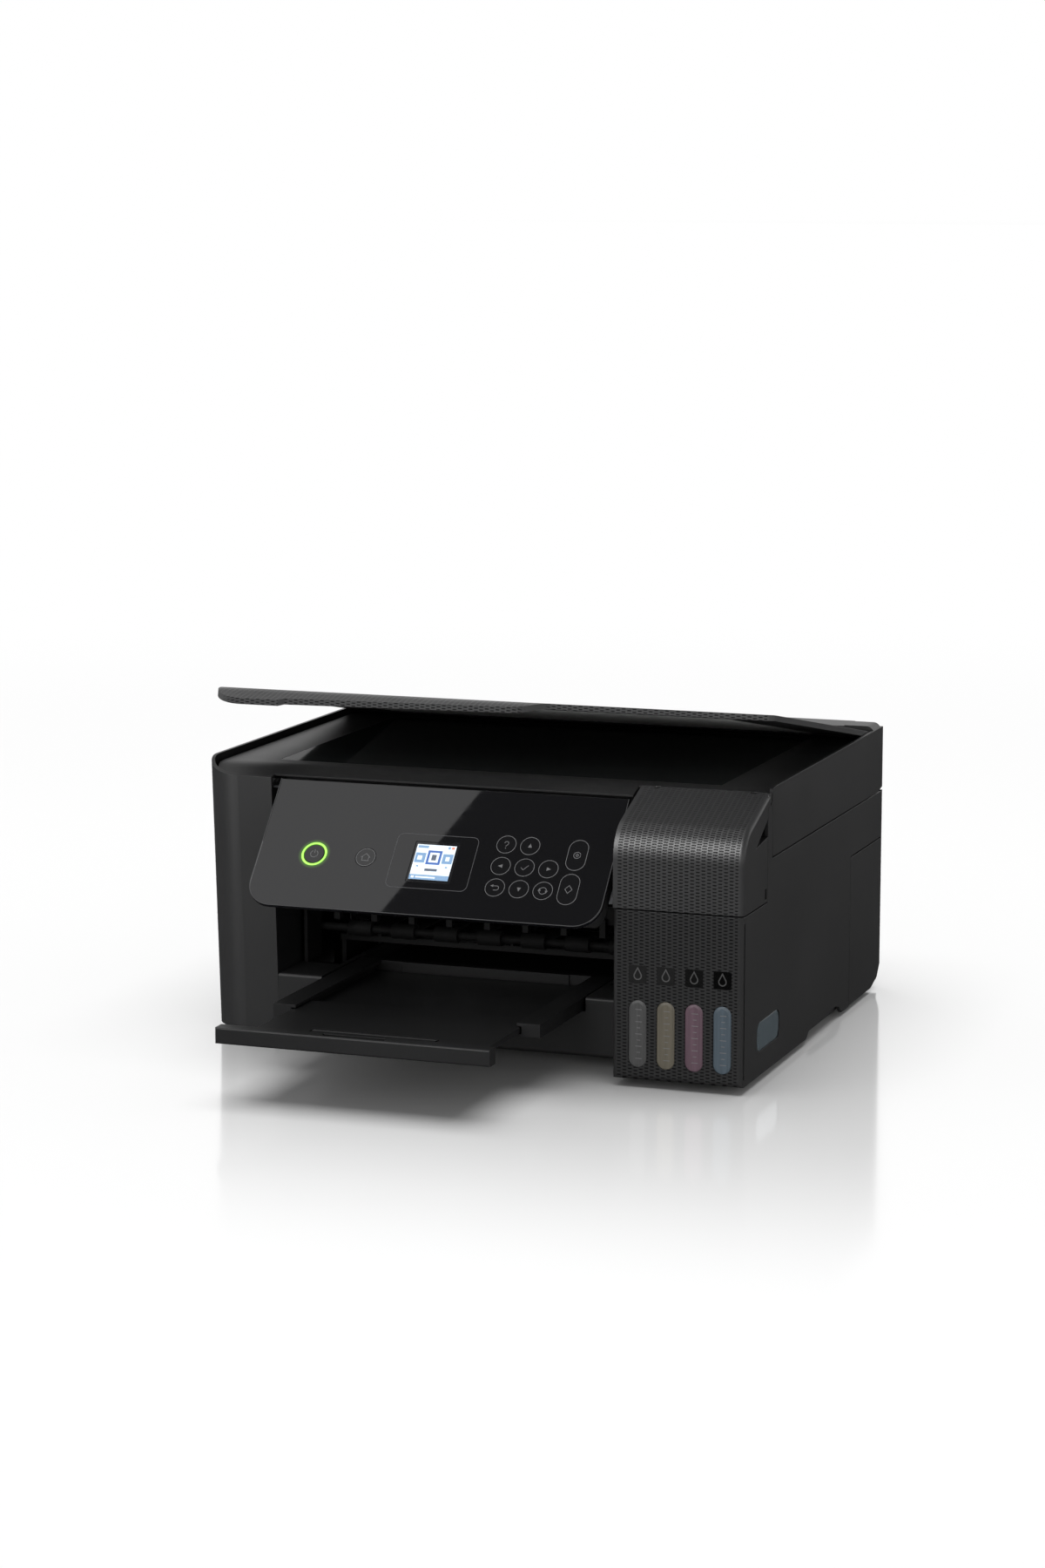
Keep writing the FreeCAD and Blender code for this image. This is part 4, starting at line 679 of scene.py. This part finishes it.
picture_mesh = close_mesh(bm, "display_picture")
for colour_name, colour in SCREEN_COLOURS:
    picture_mesh.materials.append(printed_ink(colour_name, colour, glow=0.5))
new_object("display_picture", picture_mesh, "panel")

bm = bmesh.new()
outline = loop_points(-14.2 * MM, 54.4 * MM, 26.7 * MM, 19.4 * MM, 4.0 * MM)
ribbon(bm, outline, 0.35 * MM, on_panel, closed=True)
frame_mesh = close_mesh(bm, "display_frame_line")
frame_mesh.materials.append(ring_grey)
new_object("display_frame_line", frame_mesh, "panel")


# ---- ink windows ----
# Clear smoked lenses pressed into the tank box from inside, so that the ink level shows; a moulded
# scale runs up the middle of each.
def lens_material(name, tint):
    """Clear plastic over milky tank and ink: streaked upright."""
    made, tree, bsdf = shader(name)
    place = add(tree, "ShaderNodeTexCoord").outputs["Object"]
    upright = add(tree, "ShaderNodeMapping", {"Vector": place, "Scale": (900.0, 900.0, 25.0)})
    streak = add(tree, "ShaderNodeTexNoise", {"Vector": upright.outputs["Vector"], "Scale": 1.0})
    tone = add(tree, "ShaderNodeMapRange", {"Value": streak.outputs["Fac"], "From Min": 0.3, "From Max": 0.7,
                                             "To Min": 0.85, "To Max": 1.12})
    colour = add(tree, "ShaderNodeMix", {"Factor": 1.0, "A": (*tint, 1), "B": tone.outputs["Result"]},
                 data_type="RGBA", blend_type="MULTIPLY")
    tree.links.new(colour.outputs["Result"], bsdf.inputs["Base Color"])
    bsdf.inputs["Roughness"].default_value = 0.22
    bsdf.inputs["Coat Weight"].default_value = 0.4
    bsdf.inputs["Coat Roughness"].default_value = 0.08
    return made


def crowned_lens(bm, outline, place, crown, index):
    """Solid lens: flat back, face rising from the rim in three steps to a low crown."""
    levels = [(1.0, 0.0, -1.4 * MM), (1.0, 0.0, 0.0), (0.93, 0.55 * crown, 0.0), (0.72, crown, 0.0)]
    centre = sum((Vector(p) for p in outline), Vector((0, 0))) / len(outline)
    rings = []
    for share, rise, back in levels:
        ring = []
        for point in outline:
            inset = (1 - share) * 5.0 * MM
            away = Vector(point) - centre
            away.y = max(abs(away.y) - inset, 0.0) * (1 if away.y > 0 else -1)
            away.x = max(abs(away.x) - inset, 0.0) * (1 if away.x > 0 else -1)
            ring.append(bm.verts.new(place(centre.x + away.x, centre.y + away.y, rise + back)))
        rings.append(ring)
    n = len(outline)
    faces = [bm.faces.new(list(reversed(rings[0]))), bm.faces.new(rings[-1])]
    for low_ring, high_ring in zip(rings, rings[1:]):
        for i in range(n):
            faces.append(bm.faces.new((low_ring[i], low_ring[(i + 1) % n], high_ring[(i + 1) % n],
                                       high_ring[i])))
    for face in faces:
        face.material_index = index


WINDOW_TINTS = [("window_grey", (0.075, 0.075, 0.075)), ("window_straw", (0.125, 0.112, 0.086)),
                ("window_mauve", (0.120, 0.076, 0.096)), ("window_blue", (0.074, 0.097, 0.118)),
                ("window_dusk", (0.085, 0.108, 0.122))]
tank_low, tank_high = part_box("tank_housing")
WINDOW_Z = 33.8 * MM        # middle of the front windows
SIDE_WINDOW_Y = 55.5 * MM   # middle of the side window, behind the tank box's front
SIDE_WINDOW_Z = 29 * MM
bm = bmesh.new()
tank_axes = []
for i, ink_name in enumerate(INKS):
    ink_low, ink_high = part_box("ink_tank_" + ink_name)
    centre_x = (ink_low.x + ink_high.x) / 2
    tank_axes.append(centre_x)
    front = [(centre_x + x, WINDOW_Z + z) for x, z in loop_points(0, 0, 5.7 * MM, 20.95 * MM, 5.69 * MM, 10)]
    crowned_lens(bm, front, lambda x, z, out: Vector((x, tank_low.y + 0.6 * MM - out, z)), 0.45 * MM, i)
side_y = SIDE_WINDOW_Y + tank_low.y
side = [(side_y + y, SIDE_WINDOW_Z + z) for y, z in loop_points(0, 0, 24.5 * MM, 9 * MM, 6.5 * MM)]
crowned_lens(bm, side, lambda y, z, out: Vector((tank_high.x - 0.6 * MM + out, y, z)), 0.35 * MM, 4)
lens_mesh = close_mesh(bm, "ink_window_lenses")
for tint_name, tint in WINDOW_TINTS:
    lens_mesh.materials.append(lens_material(tint_name, tint))
lenses = new_object("ink_window_lenses", lens_mesh, "chassis")
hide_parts("ink_windows")


# ---- ink labels and level scales ----
# Four square labels over the windows, each with a drop in place of a letter, and the scale's fine lines.
def on_front(x, z, depth):
    return Vector((x, tank_low.y + depth, z))


def on_lens(x, z, depth):
    return Vector((x, tank_low.y + 0.15 * MM + depth, z))


LABEL_TONES = [0.016, 0.015, 0.006, 0.002]
LABEL_Z = 70.8 * MM
LABEL_THICK = 0.12 * MM
for centre_x, ink_name, label_tone in zip(tank_axes, INKS, LABEL_TONES):
    bm = bmesh.new()
    patch(bm, [(centre_x + x, LABEL_Z + z) for x, z in loop_points(0, 0, 5.6 * MM, 5.6 * MM, 1.0 * MM, 4)],
          on_front, thick=LABEL_THICK)
    drop = arc(0, -1.0 * MM, 2.3 * MM, 150, 390, 16) + [(0, 3.9 * MM)]
    drop = [(centre_x + x, LABEL_Z + z) for x, z in drop]
    ribbon(bm, drop, 0.7 * MM, on_front, closed=True, lift=LABEL_THICK)
    label_mesh = close_mesh(bm, "ink_label_" + ink_name)
    label_mesh.materials.append(gloss_black("label_" + ink_name, (label_tone, label_tone, label_tone)))
    label_mesh.materials.append(printed_ink("drop_" + ink_name, (0.05 + 1.5 * label_tone,) * 3))
    for polygon in label_mesh.polygons:
        if min(label_mesh.vertices[i].co.y for i in polygon.vertices) < tank_low.y - LABEL_THICK - 0.001 * MM:
            polygon.material_index = 1
    new_object("ink_label_" + ink_name, label_mesh, "chassis")

bm = bmesh.new()
for centre_x in tank_axes:
    for step in range(9):
        half = 2.0 * MM if step % 2 == 0 else 1.1 * MM
        z = (18.5 + 3.8 * step) * MM
        ribbon(bm, [(centre_x - half + 0.6 * MM, z), (centre_x + half + 0.6 * MM, z)], 0.4 * MM, on_lens)
scale_mesh = close_mesh(bm, "level_scales")
scale_mesh.materials.append(printed_ink("scale_grey", (0.15, 0.15, 0.15)))
new_object("level_scales", scale_mesh, "chassis")
